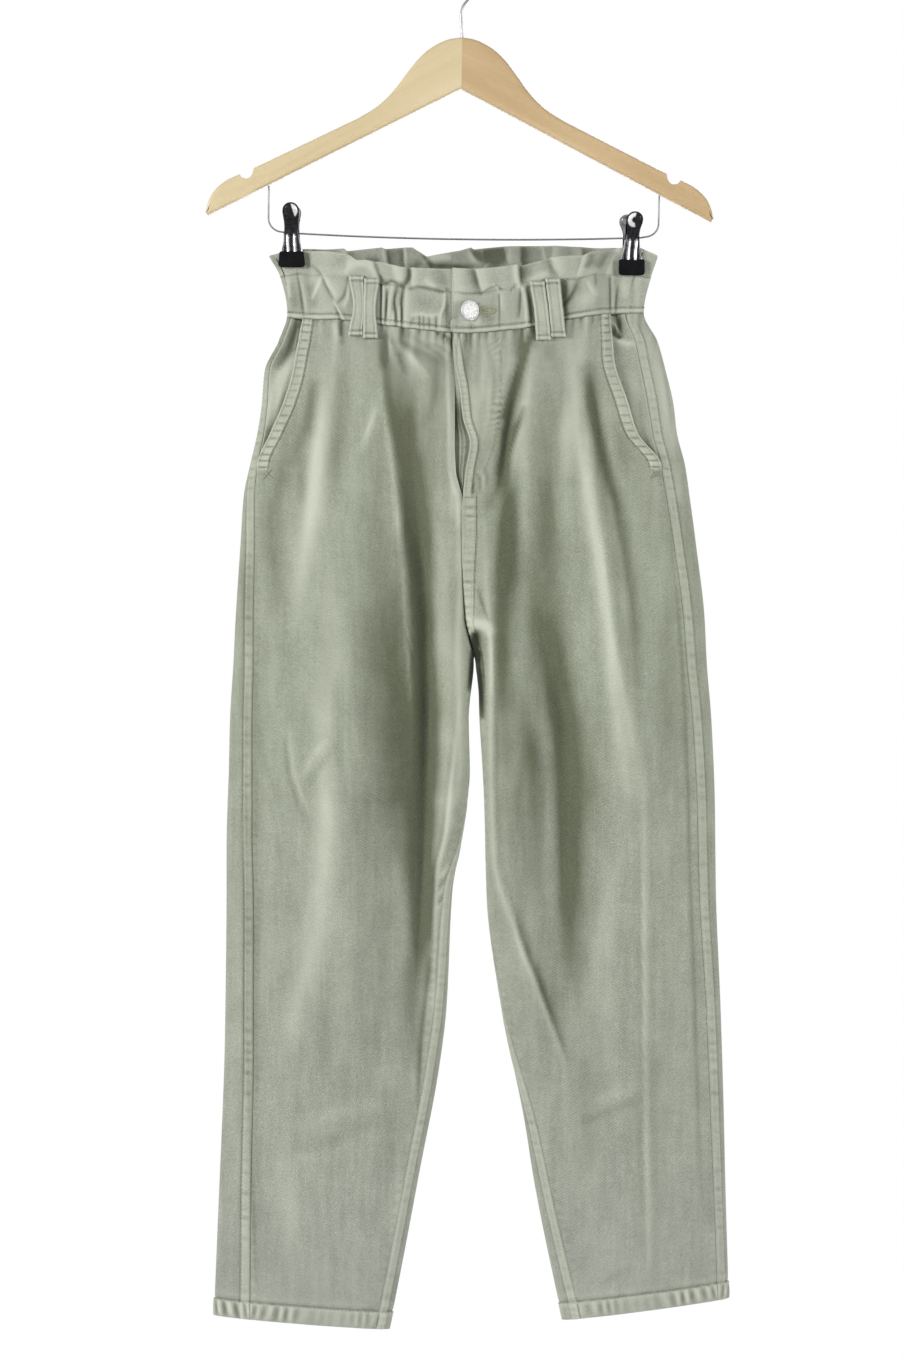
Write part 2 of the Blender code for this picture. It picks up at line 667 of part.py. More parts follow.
def add_wood(half):
    """One mitred arm: a flat outline given its thickness, with rounded edges."""
    sign = 1 if half == "right" else -1
    tip_x = WOOD_TOP[-1][0]
    under = [(tip_x - 2.0, WOOD_UNDER + WOOD_SLOPE * (tip_x - 2.0)), (GAP / 2, WOOD_UNDER)]
    outline = list(WOOD_TOP) + under
    curve = bpy.data.curves.new("hanger_wood_" + half, "CURVE")
    curve.dimensions = "2D"
    curve.fill_mode = "BOTH"
    curve.extrude = (WOOD_THICK / 2 - WOOD_ROUND) * MM
    curve.bevel_depth = WOOD_ROUND * MM
    curve.bevel_resolution = 1
    curve.offset = -WOOD_ROUND * MM
    spline = curve.splines.new("POLY")
    spline.points.add(len(outline) - 1)
    for point, (x, drop) in zip(spline.points, outline):
        point.co = ((sign * x + HANGER_SHIFT) * MM, -(HOOK_RISE + drop) * MM, 0.0, 1.0)
    spline.use_cyclic_u = True
    mesh = curve_mesh("hanger_wood_" + half, curve)
    colours = {"left": (0.71, 0.60, 0.37), "right": (0.62, 0.47, 0.26)}
    finish = material("beech_" + half, colours[half], 0.5)
    made = add_object("hanger_wood_" + half, mesh, finish, True)
    made.rotation_euler = (math.pi / 2, 0.0, 0.0)
    bpy.context.view_layer.update()
    tilt_to_hanger(made)


def add_hook():
    """A question-mark hook, open to the left, its stem ending on the wood."""
    radius = HOOK_INNER + HOOK_WIRE
    middle = HOOK_INNER - HOOK_RISE
    stem = [(HANGER_SHIFT, 0.0, -GAP), (1.0, 0.0, -12.0), (0.6, 0.0, -20.0), (1.8, 0.0, -26.5)]
    stem += [(5.2, 0.0, -32.0), (10.2, 0.0, -37.5), (15.6, 0.0, -44.0)]
    bow = arc(0.0, middle, radius, -38.0, 196.0, 26)
    made = wire("hook", stem + bow, HOOK_WIRE, chrome())
    tilt_to_hanger(made)


def bar_drop(x):
    """The untilted bar, which sags a little between its ends."""
    along = (x - BAR_LEFT) / (BAR_RIGHT - BAR_LEFT)
    return BAR_DROP + BAR_SAG * 4 * along * (1 - along)


def add_bar():
    """The wire under the wood that carries the clips."""
    ends = []
    for x, sign in ((BAR_LEFT, 1), (BAR_RIGHT, -1)):
        top = WOOD_UNDER + WOOD_SLOPE * abs(x - HANGER_SHIFT) + BAR_TOP_GAP
        down = [(x, 0.0, top), (x, 0.0, (top + BAR_DROP - BAR_CORNER) / 2)]
        angles = (180, 264) if sign == 1 else (0, -84)
        ends.append(down + arc(x + sign * BAR_CORNER, BAR_DROP - BAR_CORNER, BAR_CORNER, *angles, 6))
    run = np.linspace(BAR_LEFT + 1.3 * BAR_CORNER, BAR_RIGHT - 1.3 * BAR_CORNER, 13)
    across = [(x, 0.0, bar_drop(x)) for x in run]
    tilt_to_hanger(wire("clip_bar", ends[0] + across + ends[1][::-1], BAR_RADIUS, chrome()))


def tilted_bar_drop(x):
    """The drop of the tilted bar under a place on it."""
    lean = math.radians(HANGER_TILT)
    own_x = x + (HOOK_RISE + BAR_DROP) * math.sin(lean)
    return (HOOK_RISE + bar_drop(own_x)) * math.cos(lean) + own_x * math.sin(lean) - HOOK_RISE


def add_leg(name, centre_x, side, outline):
    """A bent strip of a clip: a profile in the side view, given the strip's width."""
    profile = np.array(outline, float)
    tangent = np.gradient(profile, axis=0)
    normal = np.stack((tangent[:, 1], -tangent[:, 0]), axis=1)
    normal /= np.linalg.norm(normal, axis=1, keepdims=True)
    if normal[len(normal) // 2, 0] < 0:
        normal = -normal
    outer = profile + normal * CLIP_METAL
    grids = []
    for edge in (outer, profile):
        edge_x = np.full(len(edge), centre_x - CLIP_WIDTH / 2)
        left = np.stack((edge_x, side * edge[:, 0], edge[:, 1]), axis=1)
        right = left + np.array((CLIP_WIDTH, 0.0, 0.0))
        grids.append(np.stack((left, right), axis=1))
    orient_and_add(name, wall_mesh(name, grids[0], grids[1]), chrome())


def add_clip(half):
    """A spring clip on the bar: two bent legs, the coil they turn on and two rubber jaws."""
    centre = CLIP_X if half == "right" else -CLIP_X
    jaw_top = CLIP_DROPS[half]
    bar = tilted_bar_drop(centre)
    head = bar - 22.0
    reach = PINCH_DEPTH + GAP + JAW_THICK
    outline = [(13.0, head + 2.4), (13.6, head + 0.4), (12.2, head - 0.9), (10.6, head + 0.2)]
    outline += [(9.2, head + 6.0), (7.4, bar - 7.0), (SPRING_RADIUS + 0.5, bar - 2.0)]
    outline += [(SPRING_RADIUS + 0.5, bar + 2.5), (reach - 1.0, jaw_top - 5.0), (reach - 1.0, jaw_top - GAP)]
    for face, side in (("front", -1), ("back", 1)):
        add_leg("clip_" + half + "_" + face, centre, side, outline)
        bpy.ops.mesh.primitive_cube_add(size=1.0)
        jaw = bpy.context.object
        near = PINCH_DEPTH + GAP
        jaw.data.transform(Matrix.Diagonal((JAW_WIDTH * MM, JAW_THICK * MM, JAW_HEIGHT * MM, 1.0)))
        jaw.location = at(centre, side * (near + JAW_THICK / 2), jaw_top + JAW_HEIGHT / 2)
        adopt(jaw, "clip_" + half + "_jaw_" + face, material("black_rubber", (0.015, 0.015, 0.017), 0.6))
        bevel = jaw.modifiers.new("edge", "BEVEL")
        bevel.width = 0.8 * MM
        bevel.segments = 2
    add_spring("clip_" + half + "_spring", centre, bar)


def adopt(made, name, finish):
    """Name a primitive, give it its finish and move it to the part's collection."""
    made.name = name
    made.data.name = name
    made.data.materials.clear()
    made.data.materials.append(finish)
    for group in list(made.users_collection):
        group.objects.unlink(made)
    part_collection().objects.link(made)


def add_spring(name, x, drop):
    """The coil that a clip turns on, as a sleeve on the bar."""
    inner = BAR_RADIUS + 0.5
    half_width = CLIP_WIDTH / 2 - 1.5
    outer = SPRING_RADIUS
    profile = ((inner, half_width), (outer, half_width), (outer, -half_width), (inner, -half_width))
    mesh = bpy.data.meshes.new(name)
    edges = [(0, 1), (1, 2), (2, 3), (3, 0)]
    mesh.from_pydata([(r * MM, 0.0, z * MM) for r, z in profile], edges, [])
    made = add_object(name, mesh, chrome(), True)
    add_screw(made, 20)
    made.rotation_euler = (0.0, math.pi / 2, 0.0)
    made.location = at(x, 0.0, drop)


def main():
    clear_scene()
    for half in HALVES:
        for face in FACES:
            add_panel(half, face)
        add_pocket_facing(half)
        add_front_band(half)
    add_back_band()
    add_fly_shield()
    for loop in LOOPS:
        add_loop(*loop)
    add_button()
    for half in HALVES:
        add_wood(half)
    add_hook()
    add_bar()
    for half in HALVES:
        add_clip(half)


main()
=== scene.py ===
import math

import bmesh
import bpy
import numpy as np
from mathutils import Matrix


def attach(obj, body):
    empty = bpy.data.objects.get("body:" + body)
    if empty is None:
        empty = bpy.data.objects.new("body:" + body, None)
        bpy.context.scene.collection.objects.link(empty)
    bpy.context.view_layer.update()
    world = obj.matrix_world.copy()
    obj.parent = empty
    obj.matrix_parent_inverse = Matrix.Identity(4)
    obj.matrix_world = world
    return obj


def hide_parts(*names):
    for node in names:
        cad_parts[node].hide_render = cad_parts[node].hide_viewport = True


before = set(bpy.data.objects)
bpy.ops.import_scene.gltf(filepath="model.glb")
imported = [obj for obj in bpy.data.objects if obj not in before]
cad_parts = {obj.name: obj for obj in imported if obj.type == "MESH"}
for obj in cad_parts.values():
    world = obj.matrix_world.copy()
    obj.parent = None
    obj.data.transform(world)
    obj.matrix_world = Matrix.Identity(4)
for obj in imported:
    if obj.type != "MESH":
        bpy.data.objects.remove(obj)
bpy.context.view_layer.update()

# Paper-bag waist jeans hung flat from a wooden clip hanger. Everything below is worked out in
# millimetres: x to the right, y away from the camera, and a drop down from the top of the wood.
# Meshes are turned into metres as they are made.

hookRise = 85.0
sideOf = {"left": -1.0, "right": 1.0, "front": -1.0, "back": 1.0}      # along x, and along y
print("frame loaded,", len(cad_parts), "nodes")

# the garment's outline, as the solid model has it
cut = {
    "frillTop": 184.0,
    "channelTop": 207.0,
    "waistSeam": 240.0,
    "splitStart": 400.0,
    "crotch": 540.0,
    "hem": 1118.0,
    "hemHeight": 15.0,
    "gap": 0.06,
    "cloth": 1.2,
    "bandCloth": 1.6,
    "underlap": 0.5,
    "clipX": 148.0,
    "pinchHalf": 14.0,
    "pinchDepth": 1.9,
}

# drop, outer edge, side seam in from it, pocket edge in from it, inner edge, inseam in from it
sectionColumns = ("drop", "outer", "side", "pocket", "inner", "inseam")
sections = {
    "left": (
        (185, -168, 5, 14, -8, 0), (207, -158, 4, 14, -8, 0), (240, -152, 3, 14, -8, 0),
        (265, -159, 3, 18, -7, 0), (290, -171, 4, 25, -6, 0), (320, -174, 5, 20, -6, 0),
        (345, -178, 6, 13, -6, 0), (371, -184, 7, 7, -5, 0), (400, -190, 10, 10, 1, 0),
        (445, -193, 13, 13, 1, 0), (505, -197, 16, 16, 3, 0), (545, -199, 18, 18, 11, 0),
        (595, -202, 20, 20, 6, 0), (640, -203, 21, 21, 7, 0), (665, -204, 22, 22, 5, 0),
        (705, -205, 23, 23, -1, 3), (745, -205, 24, 24, -8, 8), (845, -206, 25, 25, -13, 11),
        (895, -207, 26, 26, -19, 12), (995, -211, 28, 28, -38, 12), (1118, -216, 32, 32, -63, 12),
    ),
    "right": (
        (185, 171, 13, 27, -8, 0), (207, 165, 14, 28, -8, 0), (240, 159, 16, 30, -8, 0),
        (265, 171, 20, 40, -6, 0), (290, 178, 22, 44, -2, 0), (320, 185, 23, 41, 1, 0),
        (345, 188, 22, 36, 7, 0), (373, 195, 22, 22, 3, 0), (400, 199, 21, 21, 1, 0),
        (445, 205, 20, 20, 1, 0), (505, 212, 19, 19, 4, 0), (545, 214, 18, 18, 13, 0),
        (595, 218, 17, 17, 16, 0), (665, 221, 16, 16, 20, 0), (745, 222, 15, 15, 22, 0),
        (845, 226, 13, 13, 35, 2), (945, 229, 12, 12, 55, 10), (995, 230, 11, 11, 63, 13),
        (1118, 233, 10, 10, 88, 16),
    ),
}

# drop, half the thickness over the whole width, and over one leg
depths = (
    (185, 22, 16), (240, 28, 18), (300, 34, 20), (375, 36, 22), (445, 34, 24),
    (545, 28, 24), (665, 24, 21), (845, 20, 18), (1118, 17, 16),
)

# drop, how much lower the front's middle lies than at the clips, and the back's
sags = ((185, 18.6, -4.2), (207, 17.6, -3.8), (240, 19.4, -1.6), (365, 9, -0.8), (505, 0, 0))
sagReach = 145.0
cornerDroop = 0.28
hemTilts = {"left": (-140.0, 1.5, 0.08), "right": (161.0, -10.0, -0.132)}
hemTiltStart = 960.0

# Folds, listed one by one. Each is a soft ridge (or a trough, below zero) along a line of points:
# height, reach on its left and on its right, how sharp its crest is (0 to 1), and the line's own
# x and drop, point by point.
folds = {}
folds["frontleft"] = (
    (-2.2, 3, 2.4, 0.4, (-30, 241), (-20, 243), (-8, 250)),
    (-1.8, 2.4, 2.4, 0.4, (-32, 252), (-20, 253), (-8, 262)),
    (2.4, 4, 4, 0.2, (-62, 243), (-52, 256), (-40, 268), (-26, 284)),
    (-2.6, 3, 3, 0.4, (-66, 246), (-56, 262), (-47, 284)),
    (-2.2, 3, 3, 0.4, (-48, 242), (-38, 250), (-24, 256), (-10, 270)),
    (1.8, 3, 4, 0.2, (-122, 243), (-112, 250), (-103, 262)),
    (-2.2, 3, 3, 0.4, (-112, 241), (-105, 250), (-102, 268)),
    (6, 12, 6, 0.35, (-70, 252), (-68, 316), (-60, 359), (-56, 402), (-52, 446), (-45, 550), (-42, 606),
                     (-48, 690)),
    (-25, 40, 12, 0.15, (-52, 262), (-46, 330), (-39, 400), (-33, 480), (-31, 550), (-30, 630), (-34, 730),
                        (-40, 820), (-52, 960)),
    (5, 34, 30, 0, (-116, 250), (-117, 400), (-112, 560), (-114, 700), (-124, 900)),
    (4.2, 13, 11, 0.1, (-112, 250), (-119, 316), (-124, 360), (-128, 403), (-141, 470)),
    (-3.6, 9, 9, 0.1, (-100, 255), (-102, 316), (-106, 360), (-112, 415)),
    (1.8, 5, 4, 0.3, (-73, 308), (-77, 330), (-83, 358)),
    (-2.6, 12, 8, 0.1, (-112, 505), (-106, 590), (-98, 680)),
    (1.6, 10, 10, 0.1, (-126, 540), (-122, 620), (-112, 700)),
    (-1.3, 4, 4, 0.3, (-171, 628), (-164, 650), (-157, 672)),
    (-1.1, 4, 4, 0.3, (-174, 650), (-166, 668), (-160, 690)),
    (1.5, 8, 10, 0.1, (-162, 955), (-110, 938), (-52, 924)),
    (-1.4, 6, 8, 0.1, (-168, 975), (-110, 960), (-60, 940)),
    (-1.2, 4, 4, 0.3, (-88, 1108), (-74, 1099), (-57, 1091)),
    (2, 14, 12, 0, (-90, 720), (-104, 840), (-122, 980), (-130, 1090)),
    (-1.8, 10, 14, 0, (-60, 800), (-78, 900), (-98, 1040)),
    (1.2, 7, 7, 0.1, (-150, 420), (-158, 500), (-168, 590)),
)
folds["backleft"] = (
    (5, 13, 11, 0.2, (-60, 250), (-75, 430), (-90, 700)),
    (-5, 12, 12, 0.1, (-30, 300), (-60, 480), (-110, 640)),
    (3, 14, 14, 0.1, (-60, 700), (-100, 860), (-150, 980)),
    (-2.5, 8, 10, 0.2, (-120, 265), (-128, 340), (-146, 430)),
    (-2, 6, 8, 0.2, (-40, 820), (-90, 900), (-160, 930)),
    (2.2, 9, 9, 0.1, (-160, 520), (-140, 640), (-132, 760)),
)
folds["frontright"] = (
    (-9, 10, 6, 0.3, (58, 250), (48, 291), (39, 338), (33, 377), (19, 418)),
    (-22, 24, 32, 0.1, (40, 300), (42, 370), (54, 450), (72, 530), (88, 600), (92, 670), (88, 760),
                       (80, 860), (90, 960)),
    (3, 4, 11, 0.2, (67, 252), (58, 296), (49, 342), (42, 384), (30, 425)),
    (4.8, 11, 6, 0.35, (100, 250), (106, 316), (112, 377), (122, 447), (129, 512), (140, 569), (151, 626),
                       (157, 700)),
    (2.6, 9, 5, 0.3, (156, 650), (158, 760), (158, 914), (162, 1020), (164, 1100)),
    (-4.6, 6, 7, 0.2, (110, 270), (116, 330), (123, 372), (139, 418)),
    (2.6, 11, 9, 0, (91, 300), (90, 380), (88, 470)),
    (-3.4, 10, 12, 0, (84, 515), (86, 580), (88, 650)),
    (-2.2, 9, 9, 0.1, (62, 590), (57, 640), (50, 690)),
    (1.8, 8, 3, 0.3, (24, 600), (26, 665), (30, 725), (44, 770), (62, 820), (79, 866), (89, 894)),
    (-1.8, 3, 8, 0.2, (38, 735), (48, 770), (67, 820), (84, 866), (95, 896)),
    (1.5, 5, 5, 0, (1, 516), (6, 512), (14, 511), (22, 515), (27, 522)),
    (-1.6, 4, 4, 0.3, (97, 947), (128, 936), (160, 922)),
    (1.4, 6, 8, 0.1, (100, 932), (130, 922), (160, 908)),
    (1.6, 10, 12, 0, (120, 700), (124, 800), (136, 960)),
    (1.6, 6, 5, 0.2, (160, 300), (166, 360), (176, 430)),
    (-1.5, 8, 8, 0, (186, 640), (190, 760), (196, 900)),
    (-1.2, 4, 4, 0.3, (118, 1092), (134, 1084), (150, 1078)),
)
folds["backright"] = (
    (5, 13, 11, 0.2, (66, 250), (84, 430), (104, 700)),
    (-5, 12, 12, 0.1, (36, 300), (66, 470), (120, 650)),
    (3, 14, 14, 0.1, (70, 690), (112, 880), (165, 1010)),
    (-2.5, 9, 7, 0.2, (132, 262), (138, 330), (150, 400)),
    (-2, 7, 7, 0.2, (60, 830), (110, 905), (190, 950)),
    (2, 9, 9, 0.1, (170, 500), (150, 620), (144, 740)),
)


# Painted highlight (above zero) and painted shade deep in folds (below zero): strength, reach on its
# left and on its right, how sharp, and the line's own x and drop. The back wears the other half's, mirrored.
paintedHighlightsAndShade = {}
paintedHighlightsAndShade["left"] = (
    (-0.9, 5, 5, 0, (-148, 240), (-157, 262), (-171, 288)),
    (-0.4, 5, 5, 0, (-44, 285), (-42, 312), (-42, 345)),
    (-0.5, 4, 4, 0, (-184, 450), (-185, 490), (-185, 530)),
    (0.35, 6, 6, 0, (-158, 246), (-158, 258), (-160, 275)),
    (0.6, 3, 3, 0.1, (-13, 276), (-10, 318), (-8, 368), (-8, 416)),
    (-0.5, 3, 3, 0.3, (-19, 244), (-12, 246), (-7, 252)),
    (-0.5, 5, 4, 0.2, (-66, 246), (-50, 256), (-30, 262), (-12, 272)),
    (0.4, 4, 4, 0.1, (-58, 256), (-44, 268), (-32, 286)),
    (-0.45, 4, 3, 0.2, (-140, 244), (-126, 246), (-112, 243)),
    (-0.95, 14, 11.3, 0, (-62, 257), (-54, 316), (-47, 371), (-42, 435), (-43, 499)),
    (-1, 33, 12, 0, (-44, 462), (-41, 525), (-33, 578), (-33, 630), (-36, 680), (-40, 730)),
    (-1, 12, 9, 0, (-34, 660), (-32, 720), (-32, 760), (-32, 800), (-30, 835)),
    (-0.8, 3.5, 2, 0.3, (-27, 800), (-31, 835), (-35, 872), (-37, 910), (-38, 935)),
    (0.45, 5, 5, 0, (-18, 815), (-24, 870), (-29, 930), (-36, 990)),
    (-0.65, 9, 8, 0, (-29, 290), (-29, 380), (-28, 440), (-28, 525)),
    (-0.8, 1.2, 1.8, 0.2, (-28, 236), (-25, 239), (-15, 243), (-5, 250)),
    (0.5, 1.2, 1.5, 0.2, (-26, 242), (-16, 246), (-7, 253)),
    (-0.7, 1.2, 1.8, 0.2, (-22, 243), (-12, 249), (-5, 258)),
    (-0.8, 1.8, 2.4, 0.2, (-70, 238), (-67, 250), (-64, 275)),
    (0.6, 1.5, 1.5, 0.2, (-66, 238), (-63, 252), (-60, 275)),
    (-0.5, 4, 4, 0.1, (-52, 236), (-52, 251), (-52, 268)),
    (-0.3, 7, 6, 0, (-53, 425), (-52, 480), (-52, 535)),
    (-0.3, 6, 4, 0, (-14, 535), (-14, 569), (-15, 604)),
    (-0.4, 8, 6, 0, (-120, 595), (-119, 630), (-120, 668)),
    (-0.45, 5, 5, 0.1, (-127, 298), (-129, 324), (-131, 352)),
    (-0.35, 5, 5, 0.1, (-137, 362), (-138, 385), (-140, 410)),
    (-0.5, 7, 6, 0, (-179, 415), (-181, 560), (-182, 700), (-181, 850), (-180, 1000), (-179, 1080)),
    (-0.3, 6, 5, 0, (-20, 480), (-19, 560), (-19, 640), (-21, 700)),
    (-0.3, 6, 6, 0, (-43, 690), (-43, 745), (-44, 795)),
    (-0.25, 9, 8, 0, (-44, 780), (-43, 840), (-44, 905)),
    (0.4, 4, 4, 0, (-53, 1030), (-53, 1060), (-56, 1095)),
    (0.5, 3, 3, 0, (-4, 340), (-4, 385), (-3, 425)),
    (0.4, 7, 7, 0, (-52, 970), (-53, 1030), (-56, 1080)),
    (0.75, 3, 4, 0.2, (-3, 378), (-1, 453), (-3, 525), (-2, 578), (-1, 630), (-6, 670)),
    (0.7, 2, 2.5, 0.3, (-2, 575), (-5, 612), (-10, 656), (-14, 694), (-21, 726), (-22, 752), (-24, 800),
        (-25, 850)),
    (-0.4, 2, 2, 0.1, (-8, 612), (-13, 656), (-17, 694), (-24, 726), (-26, 752), (-28, 790)),
    (-0.35, 2.5, 2.5, 0, (-9, 690), (-13, 712), (-18, 724)),
    (0.5, 1.5, 1.5, 0, (-20, 733), (-11, 722)),
    (0.5, 1.5, 1.5, 0, (-21, 748), (-12, 737)),
    (0.5, 1.5, 1.5, 0, (-22, 760), (-13, 751)),
    (-0.4, 1.5, 1.5, 0, (-20, 741), (-12, 730)),
    (-0.4, 1.5, 1.5, 0, (-21, 755), (-13, 745)),
    (0.75, 7.9, 10.5, 0.1, (-112, 270), (-118, 315), (-125, 359), (-129, 403), (-136, 447), (-144, 490),
        (-148, 534)),
    (0.65, 8.7, 10.5, 0.1, (-108, 455), (-109, 508), (-113, 569), (-117, 630), (-118, 691), (-122, 752),
        (-129, 804), (-146, 848), (-157, 909)),
    (-0.5, 7.9, 7.9, 0, (-155, 307), (-148, 342), (-157, 386), (-164, 429), (-158, 490), (-155, 543)),
    (-0.45, 4.4, 7, 0.1, (-129, 298), (-136, 342), (-148, 377)),
    (-0.35, 19.2, 19.2, 0, (-83, 401), (-80, 490), (-83, 595), (-87, 700), (-96, 770)),
    (0.5, 2.2, 2.2, 0.3, (-75, 255), (-69, 309), (-60, 372), (-51, 467), (-45, 560), (-43, 612)),
    (-0.5, 6.1, 4.4, 0.1, (-70, 245), (-64, 299), (-57, 344)),
    (0.6, 2.2, 2.6, 0.3, (-74, 317), (-79, 333), (-88, 361)),
    (-0.6, 5.2, 5.2, 0.1, (-71, 250), (-69, 263), (-68, 283)),
    (-0.5, 4.4, 4.4, 0.1, (-23, 256), (-22, 288), (-31, 332)),
    (0.2, 7.9, 7.9, 0, (-138, 735), (-138, 804), (-144, 848), (-150, 892)),
    (0.5, 2, 3, 0.1, (-139, 647), (-128, 626), (-115, 611)),
    (-0.4, 2.5, 2, 0.1, (-133, 653), (-121, 632), (-108, 616)),
    (0.45, 2, 2, 0.2, (-150, 598), (-147, 630), (-141, 655), (-130, 678)),
    (-0.35, 2, 2.5, 0.1, (-154, 610), (-151, 635), (-145, 660), (-136, 684)),
    (0.35, 2, 2, 0.2, (-104, 590), (-100, 620), (-101, 655)),
    (-0.3, 7, 7, 0, (-115, 804), (-118, 874), (-115, 935)),
    (0.5, 8, 6, 0, (-62, 705), (-54, 740), (-51, 765), (-53, 800), (-60, 835)),
    (-0.35, 7, 5.2, 0, (-64, 909), (-62, 953), (-62, 996)),
    (0.3, 12.2, 12.2, 0, (-148, 953), (-151, 1014), (-144, 1066)),
    (-0.5, 2.6, 1.7, 0.2, (-186, 403), (-189, 490), (-188, 595), (-187, 708), (-187, 839), (-183, 970),
        (-178, 1092)),
)
paintedHighlightsAndShade["right"] = (
    (0.9, 10, 9, 0, (158, 242), (168, 272), (174, 300), (180, 340), (188, 384)),
    (-0.5, 2, 2, 0.2, (172, 270), (178, 300), (183, 340)),
    (-0.45, 6, 7, 0, (42, 365), (43, 420), (44, 470), (44, 545)),
    (-0.35, 8, 8, 0, (110, 280), (111, 318), (113, 350)),
    (-0.35, 7, 7, 0, (134, 335), (138, 360), (144, 390)),
    (-0.9, 1.5, 1.5, 0.2, (7.5, 376), (9.5, 385), (10, 395)),
    (-0.6, 1.5, 1.5, 0.2, (13, 373), (16, 382), (15, 392)),
    (0.5, 1.5, 1.5, 0.2, (16, 370), (19, 380), (18.5, 391)),
    (-0.45, 1.5, 1.5, 0.2, (20, 368), (22, 377), (21, 386)),
    (-0.5, 2, 2, 0.1, (27, 262), (28, 285), (27, 310), (24, 335)),
    (0.4, 2, 2, 0.1, (23, 262), (24, 285), (23, 310), (20, 335)),
    (-0.3, 9, 9, 0, (73, 600), (74, 640), (78, 680)),
    (-0.3, 9, 9, 0, (110, 580), (111, 640), (112, 700)),
    (-0.3, 9, 9, 0, (108, 880), (110, 935), (112, 985)),
    (0.35, 4, 4, 0, (24, 352), (26, 376), (26, 400)),
    (-2.2, 2.2, 4, 0.2, (62, 228), (60.5, 243), (53, 267), (45.5, 291), (40, 308), (34, 324)),
    (-1.8, 2.4, 3.5, 0.2, (54, 312), (50, 326), (43, 343), (36, 359), (31, 376)),
    (0.35, 3, 3, 0, (44, 262), (38, 285), (31, 308)),
    (-0.8, 6, 8, 0, (40, 325), (39, 380), (38, 430), (36, 490)),
    (-0.7, 8, 8, 0, (36, 410), (34, 480), (34, 530), (37, 600)),
    (0.5, 2, 2, 0.2, (17, 244), (19, 262), (18, 285), (18, 305)),
    (-0.4, 1.5, 1.5, 0.1, (23, 250), (24, 270), (23, 292)),
    (-0.6, 14, 13, 0, (43, 550), (47, 620), (50, 690), (56, 770)),
    (-0.3, 9, 9, 0, (72, 365), (73, 420), (74, 485)),
    (-0.45, 4, 4, 0.1, (107, 292), (111, 323), (117, 360), (121, 385), (126, 420)),
    (-0.8, 5, 4, 0, (53, 234), (52, 250), (49, 268)),
    (0.5, 4, 4, 0, (101, 242), (102, 260), (103, 285)),
    (-0.45, 6, 7, 0, (33, 390), (34, 480), (35, 560), (38, 650)),
    (-0.4, 7, 7, 0, (61, 550), (63, 610), (64, 660), (62, 705)),
    (-0.4, 5, 5, 0, (52, 735), (54, 765), (60, 800)),
    (0.55, 6, 6, 0, (78, 590), (80, 660), (82, 720), (85, 800)),
    (-0.2, 9, 9, 0, (124, 550), (125, 650), (127, 770)),
    (-0.3, 7, 7, 0, (120, 725), (121, 780), (125, 840)),
    (-0.2, 7, 7, 0, (159, 790), (160, 900), (161, 1000), (163, 1085)),
    (0.5, 6, 6, 0, (10, 285), (10, 315), (9, 348)),
    (0.5, 5, 5, 0, (6, 470), (6, 508), (7, 535)),
    (0.4, 6, 6, 0, (148, 303), (150, 324), (152, 347)),
    (0.45, 5, 5, 0, (186, 370), (188, 385), (190, 408)),
    (0.35, 7, 7, 0, (80, 730), (82, 780), (87, 835)),
    (0.9, 6, 5, 0, (1, 516), (6, 512), (14, 511), (22, 515), (27, 522)),
    (0.8, 2, 2, 0.2, (21, 508), (25, 522), (26, 545), (26, 575)),
    (-0.7, 1.5, 1.5, 0.1, (14, 478), (17, 490), (21, 502), (24, 510)),
    (-0.55, 7.9, 10.5, 0, (34, 490), (41, 543), (51, 586), (62, 630), (65, 682), (62, 735), (54, 778)),
    (-0.5, 13.1, 10.5, 0, (76, 291), (76, 346), (76, 400), (82, 454), (79, 508), (82, 551)),
    (-0.8, 12.2, 11.3, 0, (77, 481), (82, 534), (86, 578), (92, 621), (92, 691), (92, 752), (95, 804),
        (105, 857)),
    (0.45, 6.1, 6.1, 0.1, (54, 306), (54, 372), (54, 444), (54, 525), (53, 569)),
    (0.3, 6.1, 6.1, 0, (74, 595), (74, 656), (76, 717), (79, 778)),
    (0.85, 6.1, 4.4, 0.2, (91, 249), (98, 295), (100, 340), (107, 385), (112, 420), (121, 464), (128, 516),
        (131, 569), (139, 621), (145, 665)),
    (-0.8, 3.5, 7, 0.1, (110, 279), (112, 314), (120, 350), (128, 385), (135, 416), (142, 455), (149, 508),
        (152, 569)),
    (0.45, 1.5, 4, 0.3, (156, 630), (158, 691), (158, 770), (159, 857), (160, 944), (161, 1031),
        (162, 1085)),
    (-0.35, 4, 1.7, 0.1, (153, 647), (155, 717), (155, 796), (156, 883), (157, 970), (158, 1060)),
    (0.6, 3, 3, 0.3, (20, 416), (21, 471), (25, 525), (25, 595), (26, 665), (28, 717), (35, 748),
        (43, 774)),
    (0.5, 2.5, 2.5, 0.3, (36, 735), (44, 765), (53, 797), (62, 820), (70, 842), (79, 866), (89, 894)),
    (-0.55, 1.5, 4, 0.3, (40, 738), (48, 768), (57, 797), (66, 820), (74, 842), (83, 866), (93, 896)),
    (-0.3, 2, 2, 0.2, (29, 530), (30, 595), (31, 665), (32, 705)),
    (-0.35, 10.5, 10.5, 0, (180, 455), (180, 534), (178, 612), (180, 691)),
    (0.35, 7, 8.7, 0, (128, 708), (121, 778), (112, 848)),
    (0.5, 6.1, 5.2, 0.1, (91, 307), (91, 348), (95, 384)),
    (-0.4, 5.2, 5.2, 0.1, (73, 255), (76, 278)),
    (-0.5, 2.6, 1.7, 0.2, (177, 386), (184, 455), (191, 534), (196, 630), (199, 735), (203, 839),
        (206, 944), (210, 1031)),
)
